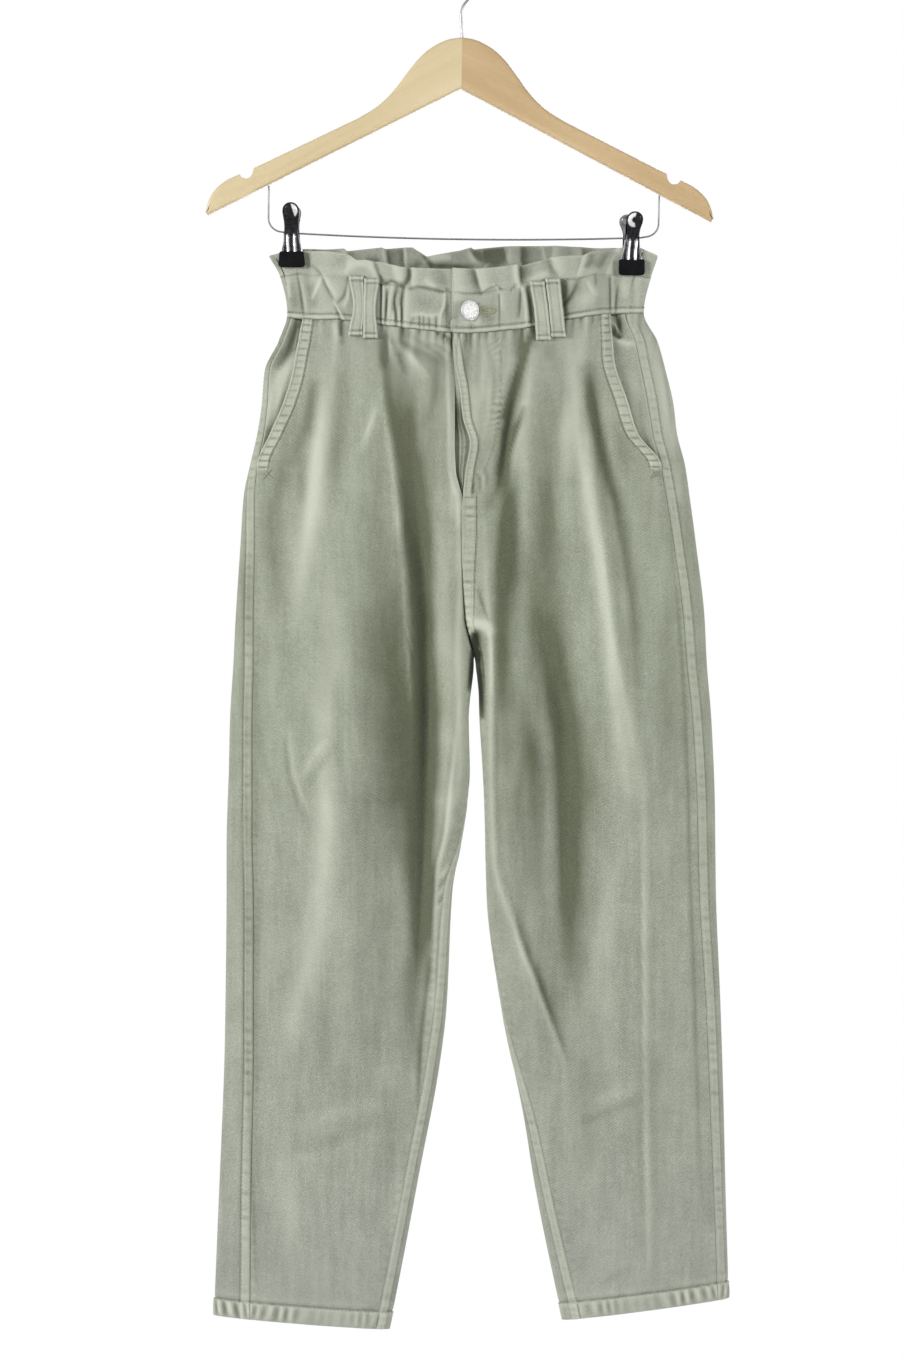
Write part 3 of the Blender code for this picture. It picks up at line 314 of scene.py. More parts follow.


# Painted shadow: near-black where nothing but dark shows, below the crotch's bridge and just inside the legs
paintedBlackShadows = {}
paintedBlackShadows["left"] = (
    (1.1, 2.5, 3, 0, (9.5, 534), (8.5, 552), (7, 570)),
)
paintedBlackShadows["right"] = (
    (1.5, 3.4, 4, 0, (11.5, 517), (12, 528), (13, 545)),
    (1.1, 3.5, 3, 0, (14, 534), (16.3, 554), (17, 574), (17.5, 594)),
)


# The garment's surface

def ease(value, low, high):
    # 3t² - 2t³, where t runs from 0 at low to 1 at high
    t = np.clip((value - low) / (high - low), 0.0, 1.0)
    return t * t * (3.0 - 2.0 * t)


def bell(value, width):
    # e to the minus (value / width)²
    return np.exp(-(value / width) ** 2)


def flatBell(value, width):
    # e to the minus (value / width)⁴: a flatter top and steeper sides
    return np.exp(-(value / width) ** 4)


def readRows(rows, column, drop):
    # cubic pieces between rows, with the harmonic mean of neighbouring slopes, so no overshoot
    rows = np.asarray(rows, float)
    x, y = rows[:, 0], rows[:, column]
    slope = np.diff(y) / np.diff(x)
    product = slope[1:] * slope[:-1]
    inner = np.where(product > 0, 2 * product / (slope[1:] + slope[:-1] + 1e-12), 0.0)
    tangent = np.concatenate(([slope[0]], inner, [slope[-1]]))
    drop = np.clip(drop, x[0], x[-1])
    i = np.clip(np.searchsorted(x, drop) - 1, 0, len(x) - 2)
    h = x[i + 1] - x[i]
    t = (drop - x[i]) / h
    return (y[i] * (1 + 2 * t) * (1 - t) ** 2 + tangent[i] * h * t * (1 - t) ** 2
            + y[i + 1] * t * t * (3 - 2 * t) + tangent[i + 1] * h * t * t * (t - 1))


def section(half, name, drop):
    return readRows(sections[half], sectionColumns.index(name), drop)


def centreBack(drop):
    return np.interp(drop, (cut["splitStart"], cut["crotch"]), (0.0, 12.0))


def innerEdge(half, drop, front):
    away = cut["gap"] / 2 if half == "right" else -cut["gap"] / 2
    seam = np.where(front, section(half, "inner", drop), centreBack(drop))
    return np.where(drop < cut["crotch"], seam + away, section(half, "inner", drop))


def wrapAngle(half, name, drop):
    # turn at which the section's cosine reaches a distance in from its edge
    width = np.abs(section(half, "inner", drop) - section(half, "outer", drop))
    turn = np.arccos(1.0 - 2.0 * np.clip(section(half, name, drop), 0, width) / width)
    return math.pi - turn if name == "inseam" else turn


def smoothLine(points, count=28):
    # the same easing cubic through each coordinate, over the chord length
    points = np.asarray(points, float)
    chord = np.concatenate(([0.0], np.cumsum(np.hypot(*np.diff(points, axis=0).T))))
    where = np.linspace(0.0, chord[-1], count)
    return np.stack([readRows(np.column_stack((chord, points[:, k])), 1, where) for k in (0, 1)], axis=1)


def nearLine(x, drop, line):
    # signed distance to a line of short segments (right of it is positive) and the way along it
    line = smoothLine(line)
    best = np.full(np.shape(x), 1e9)
    signed = np.full(np.shape(x), 1e9)
    along = np.zeros(np.shape(x))
    length = np.hypot(*np.diff(line, axis=0).T)
    total = length.sum()
    passed = 0.0
    for (ax, ad), (bx, bd), size in zip(line[:-1], line[1:], length):
        ux, ud = (bx - ax) / size, (bd - ad) / size
        t = np.clip((x - ax) * ux + (drop - ad) * ud, 0.0, size)
        away = np.hypot(x - ax - t * ux, drop - ad - t * ud)
        side = np.where((x - ax) * ud - (drop - ad) * ux >= 0, 1.0, -1.0)
        closer = away < best
        best = np.where(closer, away, best)
        signed = np.where(closer, away * side, signed)
        along = np.where(closer, (passed + t) / total, along)
        passed += size
    return signed, along


def sumLines(lines, x, drop, blunt=0.7):
    # each line: height · taper along it · (a bell across it, part of it a pointed crest)
    total = np.zeros(np.shape(x))
    for height, leftReach, rightReach, sharp, *line in lines:
        low = np.min(line, axis=0) - 3 * max(leftReach, rightReach)
        high = np.max(line, axis=0) + 3 * max(leftReach, rightReach)
        near = (x > low[0]) & (x < high[0]) & (drop > low[1]) & (drop < high[1])
        if not near.any():
            continue
        signed, along = nearLine(x[near], drop[near], line)
        across = np.abs(signed) / np.where(signed < 0, leftReach, rightReach)
        shape = (1 - sharp) * np.exp(-across ** 2) + sharp * np.exp(-1.6 * across)
        taper = min(blunt + 0.05 * max(leftReach + rightReach - 8, 0), 1.1)
        total[near] += height * np.sin(math.pi * np.clip(along, 0.0, 1.0)) ** taper * shape
    return total


def foldHeight(half, front, x, drop, least=0.0):
    own, behind = [sumLines([fold for fold in folds[face + half] if abs(fold[0]) >= least], x, drop)
                   for face in ("front", "back")]
    return np.where(front, own, behind)


# the painted highlight and shade lines; the back wears the other half's, mirrored and weaker
def paintedHighlightsAndShadeAt(half, face, x, drop):
    if face == "front":
        return sumLines(paintedHighlightsAndShade[half], x, drop, 0.45)
    other = "right" if half == "left" else "left"
    return 0.6 * sumLines(paintedHighlightsAndShade[other], -x, drop, 0.45) * ease(drop, 280, 330)


def slowNoise(x, drop, seed, size):
    # a few crossed sine waves with seeded directions and phases
    rng = np.random.default_rng(seed)
    total = np.zeros(np.shape(x))
    for _ in range(7):
        angle = rng.uniform(0, math.pi)
        pitch = size * rng.uniform(0.6, 1.8)
        phase = rng.uniform(0, 2 * math.pi)
        bend = rng.uniform(0.4, 1.2) * np.sin((x * math.sin(angle) - drop * math.cos(angle)) / (pitch * 1.7))
        total += np.sin((x * math.cos(angle) + drop * math.sin(angle)) / pitch * 2 * math.pi + bend + phase)
    return total / 7.0


def gatherHeight(x, drop):
    # gathers hang from the waist seam: uneven cosine waves that fade down the hips
    wave = np.cos(2 * math.pi * x / 15.0 + 1.6 * np.sin(x / 23.0))
    fine = np.cos(2 * math.pi * x / 6.7 + 2.1 * np.sin(x / 11.0) + 0.05 * drop)
    uneven = 0.55 + 0.45 * np.sin(x / 9.0 + 1.3)
    below = np.exp(-np.maximum(drop - cut["waistSeam"] - 3, 0) / 24.0)
    near = np.exp(-np.maximum(drop - cut["waistSeam"] - 3, 0) / (7.0 + 4.0 * uneven))
    return 1.9 * wave * below * uneven + 1.15 * fine * near


def pinch(x, drop):
    across = np.maximum(np.abs(np.abs(x) - cut["clipX"]) - cut["pinchHalf"], 0.0)
    return bell(across, 11.0) * (1.0 - ease(drop, 208, 290))


def surfaceAt(half, turn, drop, relief=None):
    # turn 0 is the outer edge, 0 to pi the front, 0 to -pi the back; below the crotch one closed leg:
    # x = outer + (inner - outer)(1 - cos)/2, y = depth · sin, both from the tables, plus the relief
    front = np.sin(turn) >= 0
    outer = section(half, "outer", drop)
    inner = innerEdge(half, drop, front)
    x = outer + (inner - outer) * (1.0 - np.cos(turn)) / 2.0
    legs = ease(drop, cut["splitStart"], cut["crotch"])
    side = np.where(front, 1.0, -1.0)
    whole = readRows(depths, 1, drop) * np.abs(np.sin(turn / 2)) ** 0.7
    leg = readRows(depths, 2, drop) * np.abs(np.sin(turn)) ** 0.8
    depth = (1 - legs) * whole + legs * leg
    pressed = np.minimum(depth, cut["pinchDepth"])
    hold = pinch(x, drop)
    depth = pressed + (depth - pressed) * (1 - hold)
    edge = np.abs(np.sin(turn / 2)) * np.where(drop < cut["splitStart"], 1.0, np.abs(np.sin(turn)) ** 0.5)
    if relief is None:
        wave = foldHeight(half, front, x, drop) * ease(drop, cut["waistSeam"] - 5, cut["waistSeam"] + 30)
        wave += gatherHeight(x, drop) * np.where(drop < cut["waistSeam"], 0.0, 1.0)
        wave = wave + 0.5 * slowNoise(x, drop, 3, 46.0) + 0.22 * slowNoise(x, drop, 5, 17.0)
    else:
        wave = relief(x, drop, front)
    y = -side * (depth + wave * np.minimum(edge * 1.6, 1.0) * (1 - hold))
    sag = np.cos(math.pi / 2 * np.clip(np.abs(x) / sagReach, 0, 1)) ** 2
    dip = np.where(front, readRows(sags, 1, drop), readRows(sags, 2, drop))
    pivot, shift, slope = hemTilts[half]
    hem = (shift + slope * (x - pivot)) * ease(drop, hemTiltStart, cut["hem"])
    above = 1 - ease(drop, cut["frillTop"], cut["waistSeam"])
    corner = cornerDroop * np.maximum(np.abs(x) - cut["clipX"], 0) * above
    return np.stack((x, y, drop + sag * dip + hem + corner), axis=-1)


def turnAt(half, x, drop, front=True):
    outer = section(half, "outer", drop)
    inner = innerEdge(half, drop, np.full(np.shape(drop), front))
    turn = np.arccos(np.clip(1.0 - 2.0 * (x - outer) / (inner - outer), -1.0, 1.0))
    return turn if front else -turn


def unfolded(x, drop, front):
    return np.zeros(np.shape(x))


def stepBack(half, turn, drop, distance):
    # move a turn by a distance along the surface
    reach = surfaceAt(half, turn + 0.02, drop, unfolded) - surfaceAt(half, turn - 0.02, drop, unfolded)
    return turn + distance * 0.04 / np.linalg.norm(reach, axis=-1)


# Meshes from grids

def gridNormals(points, flip):
    # the cross product of the two directions of the grid
    normal = np.cross(np.gradient(points, axis=1), np.gradient(points, axis=0))
    normal /= np.linalg.norm(normal, axis=-1, keepdims=True) + 1e-12
    return -normal if flip else normal


def inMetres(points):
    # x, y, drop in millimetres to x, y, z in metres
    flat = points.reshape(-1, 3)
    return np.column_stack((flat[:, 0], flat[:, 1], -(hookRise + flat[:, 2]))) * 0.001


def gridFaces(rows, columns, first, flip, closedAcross=False):
    number = first + np.arange(rows * columns).reshape(rows, columns)
    if closedAcross:
        number = np.column_stack((number, number[:, 0]))
    corners = (number[:-1, :-1], number[:-1, 1:], number[1:, 1:], number[1:, :-1])
    faces = np.stack([k.ravel() for k in corners], axis=1)
    return faces[:, ::-1] if flip else faces


def newMesh(name, points, faces, uvs=None):
    # points in millimetres with drops; faces as rows of point numbers; uvs one pair for each point
    mesh = bpy.data.meshes.new(name)
    mesh.from_pydata(inMetres(points).tolist(), [], faces if isinstance(faces, list) else faces.tolist())
    if uvs is not None:
        layer = mesh.uv_layers.new(name="cut")
        corner = np.empty(len(mesh.loops), np.int32)
        mesh.loops.foreach_get("vertex_index", corner)
        layer.data.foreach_set("uv", uvs[corner].astype(np.float32).ravel())
    mesh.polygons.foreach_set("use_smooth", np.ones(len(mesh.polygons), bool))
    mesh.update()
    return mesh


def addPiece(name, mesh, finish):
    piece = bpy.data.objects.new(name, mesh)
    mesh.materials.append(finish)
    bpy.context.scene.collection.objects.link(piece)
    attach(piece, "root")
    return piece


def addCloth(node, hangsFrom, *sheet):
    # a piece of cloth stands for a solid node
    piece = addPiece("jeans_" + node, sheetMesh("jeans_" + node, *sheet), twillFinish)
    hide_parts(node)


def setMask(mesh, name, values):
    layer = mesh.attributes.new(name, "FLOAT", "POINT")
    layer.data.foreach_set("value", np.asarray(values, np.float32).ravel())


def blurred(grid, times):
    # neighbours averaged a number of times, both ways
    for _ in range(times):
        padded = np.pad(grid, ((1, 1), (1, 1)), mode="edge")
        grid = (padded[:-2, 1:-1] + padded[2:, 1:-1] + padded[1:-1, :-2] + padded[1:-1, 2:]
                + 2 * padded[1:-1, 1:-1]) / 6.0
    return grid


def sheetMesh(name, outside, inside, flip, paintedShadingAndTone=None, seam=None, insidePaintedShadingAndTone=None):
    # two matching layers of points joined by a rim all round, with a map laid out flat
    rows, columns = outside.shape[:2]
    count = rows * columns
    front = gridFaces(rows, columns, 0, flip)
    back = gridFaces(rows, columns, count, not flip)
    number = np.arange(count).reshape(rows, columns)
    rim = np.concatenate((number[0], number[1:, -1], number[-1, -2::-1], number[-2:0:-1, 0]))
    following = np.roll(rim, -1)
    edge = np.stack((rim, rim + count, following + count, following), axis=1)
    if flip:
        edge = edge[:, ::-1]
    points = np.concatenate((outside, inside))
    wide = np.linalg.norm(np.diff(outside, axis=1), axis=-1).mean(axis=0)
    tall = np.linalg.norm(np.diff(outside, axis=0), axis=-1).mean(axis=1)
    uv = np.stack(np.meshgrid(np.append(0.0, np.cumsum(wide)), np.append(0.0, np.cumsum(tall))), axis=-1)
    uvs = np.concatenate((uv.reshape(-1, 2), uv.reshape(-1, 2))) * 0.001
    mesh = newMesh(name, points, np.concatenate((front, back, edge)), uvs)
    zeros = np.zeros(count)
    innerSeam = None if insidePaintedShadingAndTone is None else seam
    # two masks per point: painted highlight and shade with some random tone, and the pale seam mask
    for layer, outer, inner in (("paintedShadingAndTone", paintedShadingAndTone, insidePaintedShadingAndTone), ("seam", seam, innerSeam)):
        halves = [zeros if values is None else values.ravel() for values in (outer, inner)]
        setMask(mesh, layer, np.concatenate(halves))
    return mesh


# Materials

def newMaterial(name, colour, roughness, metallic=0.0, more=()):
    made = bpy.data.materials.new(name)
    made.use_nodes = True
    shader = made.node_tree.nodes["Principled BSDF"]
    settings = {"Base Color": (*colour, 1.0), "Roughness": roughness, "Metallic": metallic}
    for socket, value in (*settings.items(), *more):
        shader.inputs[socket].default_value = value
    return made, made.node_tree, shader


def addNode(tree, kind, inputs, **settings):
    # each input is linked where its value is another node's socket, and set where it is a number
    made = tree.nodes.new("ShaderNode" + kind)
    for name, value in settings.items():
        setattr(made, name, value)
    for socket, value in inputs.items():
        if hasattr(value, "is_linked"):
            tree.links.new(value, made.inputs[socket])
        else:
            made.inputs[socket].default_value = value
    return made


def ramp(tree, source, stops):
    made = addNode(tree, "ValToRGB", {"Fac": source})
    while len(made.color_ramp.elements) < len(stops):
        made.color_ramp.elements.new(0.5)
    for element, (place, colour) in zip(made.color_ramp.elements, stops):
        element.position = place
        element.color = (*colour, 1.0)
    return made.outputs["Color"]


def grey(value):
    return (value, value, value)


def scaled(colour, amount):
    return tuple(amount * c for c in colour)


def blend(tree, kind, amount, first, second):
    first, second = [value if hasattr(value, "is_linked") else (*value, 1.0) for value in (first, second)]
    made = addNode(tree, "Mix", {0: amount, 6: first, 7: second}, data_type="RGBA", blend_type=kind)
    return made.outputs[2]


def arithmetic(tree, kind, first, second):
    return addNode(tree, "Math", {0: first, 1: second}, operation=kind).outputs[0]


def clamped(tree, value):
    return addNode(tree, "Clamp", {"Value": value}).outputs[0]


def objectPlace(tree):
    return addNode(tree, "TexCoord", {}).outputs["Object"]


def mapped(tree, source, inputs):
    return addNode(tree, "Mapping", {"Vector": source, **inputs}).outputs["Vector"]


def noise(tree, vector, scale, detail=2.0, rough=0.5):
    return addNode(tree, "TexNoise", {"Scale": scale, "Detail": detail, "Roughness": rough,
                                      "Vector": vector}).outputs["Fac"]


def mask(tree, name):
    return addNode(tree, "Attribute", {}, attribute_name=name).outputs["Fac"]


def addBump(tree, shader, height, strength, distance):
    bump = addNode(tree, "Bump", {"Strength": strength, "Distance": distance, "Height": height})
    tree.links.new(bump.outputs["Normal"], shader.inputs["Normal"])


twill = {
    "shade": (0.128, 0.139, 0.089),     # in the depth of a fold
    # painted near-black shadow in the crotch's hollows
    "hollow": (0.020, 0.022, 0.014),
    "body": (0.345, 0.367, 0.291),
    "paleWearAndHighlight": (0.560, 0.585, 0.484),      # painted highlight on crests, wear and painted highlight on seam ridges
    "linesPerMetre": 1050.0,
    "bump": 0.00016,
}


def makeTwill(name, lighter=1.0):
    # body colour from slow and fine noise, a diagonal weave from a wave on the cut's own map,
    # painted highlight on crests, wear and painted highlight on seams, painted shade in folds, from the masks
    made, tree, shader = newMaterial(name, twill["body"], 0.92, more=(
        ("Sheen Weight", 0.08), ("Sheen Roughness", 0.6), ("Specular IOR Level", 0.25)))
    place = objectPlace(tree)
    cutMap = addNode(tree, "UVMap", {}, uv_map="cut").outputs["UV"]
    turned = mapped(tree, cutMap, {"Rotation": (0.0, 0.0, math.radians(62))})
    weave = addNode(tree, "TexWave", {"Scale": twill["linesPerMetre"] / 6.28, "Distortion": 1.4,
                                      "Detail": 2.0, "Detail Scale": 3.0, "Vector": turned}).outputs["Fac"]
    drawn = mapped(tree, place, {"Scale": (1.0, 1.0, 0.07)})
    fine = noise(tree, place, 620.0, 2.0, 0.7)
    body = ramp(tree, noise(tree, place, 13.0, 5.0, 0.7), ((0.25, scaled(twill["body"], 0.93 * lighter)),
                                                           (0.75, scaled(twill["body"], 1.06 * lighter))))
    for source, start, low, end, high in (
            (noise(tree, place, 70.0, 4.0, 0.65), 0.3, 0.955, 0.7, 1.04),      # mottling
            (fine, 0.25, 0.80, 0.75, 1.16),                                    # speckle
            (weave, 0.2, 0.93, 0.8, 1.05),
            (noise(tree, drawn, 95.0, 3.0, 0.6), 0.3, 0.95, 0.7, 1.055),       # upright streaks
            (noise(tree, drawn, 330.0, 3.0, 0.6), 0.3, 0.95, 0.7, 1.05)):
        body = blend(tree, "MULTIPLY", 1.0, body, ramp(tree, source, ((start, grey(low)), (end, grey(high)))))
    # the colour shifts by height: paler and bluer at the waistband, faintly greener over hips and legs, bluer
    # again at the hem
    height = addNode(tree, "SeparateXYZ", {"Vector": place}).outputs["Z"]
    tintByHeight = ramp(tree, arithmetic(tree, "MULTIPLY", height, -0.8), (
        (0.25, (1.06, 1.055, 1.10)), (0.33, (0.99, 1.0, 0.985)), (0.5, (0.985, 1.0, 0.98)),
        (0.95, (1.0, 0.985, 1.06))))
    body = blend(tree, "MULTIPLY", 1.0, body, tintByHeight)
    # painted shading: above zero towards the pale colour as painted highlight, below zero towards the painted
    # shade, below minus one towards the painted near-black hollow shadow
    paintedShadingAndTone = mask(tree, "paintedShadingAndTone")
    deep = arithmetic(tree, "MULTIPLY", paintedShadingAndTone, -1.0)
    paleWearAndHighlight = scaled(twill["paleWearAndHighlight"], lighter)
    shadeRatio = tuple(a / b for a, b in zip(twill["shade"], twill["body"]))
    body = blend(tree, "MIX", clamped(tree, paintedShadingAndTone), body, paleWearAndHighlight)
    body = blend(tree, "MIX", clamped(tree, deep), body, blend(tree, "MULTIPLY", 1.0, body, shadeRatio))
    deepest = clamped(tree, arithmetic(tree, "SUBTRACT", deep, 1.0))
    body = blend(tree, "MIX", deepest, body, twill["hollow"])
    # the seam mask: pale wear on sewn edges, with painted highlight along folded edges
    body = blend(tree, "MIX", arithmetic(tree, "MULTIPLY", mask(tree, "seam"), 0.55), body, paleWearAndHighlight)
    tree.links.new(body, shader.inputs["Base Color"])
    threads = arithmetic(tree, "ADD", weave, arithmetic(tree, "MULTIPLY", fine, 1.2))
    addBump(tree, shader, threads, 0.7, twill["bump"])
    return made


twillFinish = makeTwill("sageTwill")
print("materials made")


# Legs: four panels from the waist seam to the hem

# how far below its level the waist seam runs, by x
seamLines = {
    "front": ((-152, 4.3), (-141, 5.6), (-123, 6), (-106, 4.3), (-80, 3), (-54, 1), (-27, 0), (-8, 0.8),
              (34, 0.8), (60, 2.6), (88, 1.8), (103, 2.2), (125, 1.3), (159, 0.4)),
    "back": ((-152, 4.3), (-118, 0), (130, 0), (159, 0.4)),
}


def lineAt(x, line):
    return np.interp(x, *np.transpose(line))


def seamShift(x, front):
    return np.where(front, lineAt(x, seamLines["front"]), lineAt(x, seamLines["back"]))


def bentRows(half, turns, rows):
    # rows near the waist follow the seam's line
    level = surfaceAt(half, turns, rows)[..., 0]
    return rows + seamShift(level, np.sin(turns) >= 0) * (1 - ease(rows, cut["waistSeam"], 300))


panel = {
    "frontColumns": 112,
    "backColumns": 84,
    "frontRowStep": 2.6,
    "backRowStep": 3.6,
    "hemOut": 0.6,
    "ropePitch": 9.2,
    "hemWall": 2.6,
    "toneScale": 2.2,
}


def panelRows(step):
    # rows from the waist seam to the hem: fine to below the pockets, then wider, close again at the hem
    top = cut["waistSeam"] + cut["gap"] / 2
    upper = np.arange(top, 398.0, step * 0.52)
    lower = cut["hem"] - cut["hemHeight"] - 2
    body = np.linspace(upper[-1], lower, int((lower - upper[-1]) / step))[1:]
    hem = cut["hem"] - np.array((16.2, 15.6, 15.0, 14.2, 12.0, 9.0, 6.0, 3.0, 1.2, 0.4, 0.0))
    return np.concatenate((upper, body, hem))


def panelTurns(half, face, drops, columns):
    leg = drops >= cut["crotch"]
    side = wrapAngle(half, "side", drops)
    inseam = wrapAngle(half, "inseam", drops)
    if face == "front":
        start = stepBack(half, np.maximum(side, wrapAngle(half, "pocket", drops)), drops, cut["gap"] / 2)
        end = np.where(leg, stepBack(half, inseam, drops, -cut["gap"] / 2), math.pi)
    else:
        start = stepBack(half, side, drops, -cut["gap"] / 2)
        end = np.where(leg, stepBack(half, inseam, drops, cut["gap"] / 2) - 2 * math.pi, -math.pi)
    along = np.linspace(0, 1, columns + 1)
    along -= 0.09 * np.sin(2 * math.pi * along)      # columns crowd towards both seams
    return start[:, None] + (end - start)[:, None] * along


def acrossFrom(points):
    # distance along each row from its first point
    step = np.linalg.norm(np.diff(points, axis=1), axis=-1)
    return np.concatenate((np.zeros((len(points), 1)), np.cumsum(step, axis=1)), axis=1)


def plateau(distance, wide, soft):
    # one across a strip beside an edge, eased off over a soft width
    return 1.0 - ease(distance, wide - soft, wide + soft)


def seamRoll(distance, along, pitch, seed, depth, puckers=0.32):
    # beside a seam the cloth rolls down into it and puckers in short uneven waves
    roll = -depth * bell(distance, 1.5)
    wave = np.cos(2 * math.pi * along / pitch + 1.7 * np.sin(along / 17.0 + seed) + 0.9 * np.sin(along / 5.3))
    strength = 0.6 + 0.4 * np.sin(along / 29.0 + 2.0 * seed)
    return roll + puckers * strength * wave * bell(distance - 3.2, 2.6)


def ladder(distance, along, wide, pitch, height, seed, rungShare=0.55):
    # a sewn-down strip: raised, grooved at its stitch line, with rungs of puckers across it
    phase = 2 * math.pi * along / pitch + 1.1 * np.sin(along / 13.0 + seed) + 0.7 * np.sin(along / 4.7 + seed)
    valley = bell(np.arccos(np.clip(np.cos(phase), -1, 1)), 0.85)
    rungs = (0.6 - 2.4 * valley) * (0.7 + 0.3 * np.sin(along / 21.0 + 3.0 * seed))
    inside = bell(distance - 0.55 * wide, 0.42 * wide)
    return height * (plateau(distance, wide, 0.8) + rungShare * rungs * inside
                     - 0.7 * bell(distance - wide, 0.7))


def edgeDetail(half, face, rows, fromStart, fromEnd):
    # what is sewn along a panel's two long edges
    if face == "back":
        detail = ladder(fromStart, rows, 8.2, 9.6, 0.62, 1.0, 0.3) * ease(rows, 244, 262)
        detail += ladder(fromEnd, rows, 8.0, 9.0, 0.55, 2.0, 0.3) * ease(rows, 560, 600)
        return detail - 0.5 * bell(fromStart, 1.3) - 0.9 * bell(fromEnd, 1.3)
    pocketEnd = 380.0
    inPocket = 1.0 - ease(rows, pocketEnd - 8, pocketEnd + 2)
    pocket = ladder(fromStart, rows, 10.4, 6.6, 1.05, 3.0) + 0.75 * bell(fromStart - 0.7, 0.7)
    gape = 2.3 * bell(rows - 326, 26.0) * bell(fromStart, 12.0)
    detail = (pocket + gape) * inPocket
    detail += seamRoll(fromStart, rows, 8.5, 1.0, 0.25, 0.07) * (1 - inPocket)
    low = ease(rows, 545, 575)
    detail += seamRoll(fromEnd, rows, 9.5, 2.0, 0.25, 0.10) * low
    flyEnd = 392.0
    fly = 1.0 - ease(rows, flyEnd - 4, flyEnd + 6)
    if half == "right":
        strip = ladder(fromEnd, rows, 7.2, 5.6, 1.1, 4.0, 0.2) + 0.5 * bell(fromEnd - 0.8, 0.8)
        felled = ladder(fromEnd, rows, 11.4, 7.6, 0.9, 5.0, 0.5)
        detail = detail + strip * fly + felled * (1 - fly) * (1 - low)
    else:
        detail -= 0.9 * bell(fromEnd, 2.4) * (1 - low)
        detail += 0.8 * bell(fromEnd - 5.0, 2.6) * fly
    return detail


flyStitch = ((31, 246), (33.6, 268), (33.8, 294), (32.7, 315), (29.5, 340), (23.5, 362), (16, 378),
             (7.2, 388))


def sewnLine(x, drop, line, pitch, height, seed):
    # a groove under a row of stitches, with puckers leaning across it on both sides
    signed, along = nearLine(x, drop, line)
    run = along * 150.0
    phase = 2 * math.pi * run / pitch + 0.9 * np.sin(run / 11.0 + seed) + 0.22 * signed
    phase += 1.5 * np.sin(run / 6.3 + 0.3 * signed)
    rungs = np.cos(phase) * (0.55 + 0.45 * np.sin(run / 13.0 + seed)) * (1 - 0.85 * ease(drop, 318, 345))
    wide = np.where(signed < 0, 7.0 + 2.0 * np.sin(run / 9.0), 2.6)
    fade = np.sin(math.pi * np.clip(along, 0, 1)) ** 0.2
    return height * fade * (rungs * bell(signed, wide) - 0.9 * bell(signed, 0.8))


def hemRelief(rows, fromStart):
    # the doubled hem stands out, roped at a slant between its fold and its stitches
    inHem = np.clip((rows - (cut["hem"] - cut["hemHeight"])) / 0.8, 0.0, 1.0)
    fromStitch = rows - cut["hem"] + cut["hemHeight"]
    lean = fromStart + 0.14 * (rows - cut["hem"])
    wander = 1.6 * np.sin(fromStart / 14.0) + 0.9 * np.sin(fromStart / 5.1)
    ropes = 0.95 * np.cos(2 * math.pi * lean / panel["ropePitch"] + wander)
    ropes *= 0.55 + 0.45 * np.sin(fromStart / 19.0 + 1.0)
    bulge = np.sin(math.pi * np.clip(fromStitch / cut["hemHeight"], 0, 1)) ** 0.6
    return inHem, panel["hemOut"] * inHem + ropes * bulge, 0.5 * bell(fromStitch + 1.0, 1.0)


def seamTone(half, face, rows, fromStart, fromEnd):
    # how pale the sewn edges are: worn on the layers below the stitches, with a painted highlight along the
    # pocket's folded edge
    if face == "back":
        return 0.38 * plateau(fromStart, 8.0, 1.5) + 0.5 * plateau(fromEnd, 8.0, 1.5) * ease(rows, 560, 600)
    onPocket = 1.0 - ease(rows, 370, 382)
    seam = 0.5 * plateau(fromStart, 10.5, 1.2) * onPocket + 0.5 * bell(fromStart - 0.8, 0.8) * onPocket
    if half == "right":
        low = ease(rows, 386, 400)
        seam += 0.85 * plateau(fromEnd, 7.2, 1.0) * (1.0 - low)
        seam += 0.42 * plateau(fromEnd, 11.4, 1.0) * low * (1 - ease(rows, 540, 560))
    return seam + 0.12 * plateau(fromStart, 2.0, 1.0) * ease(rows, 372, 380)


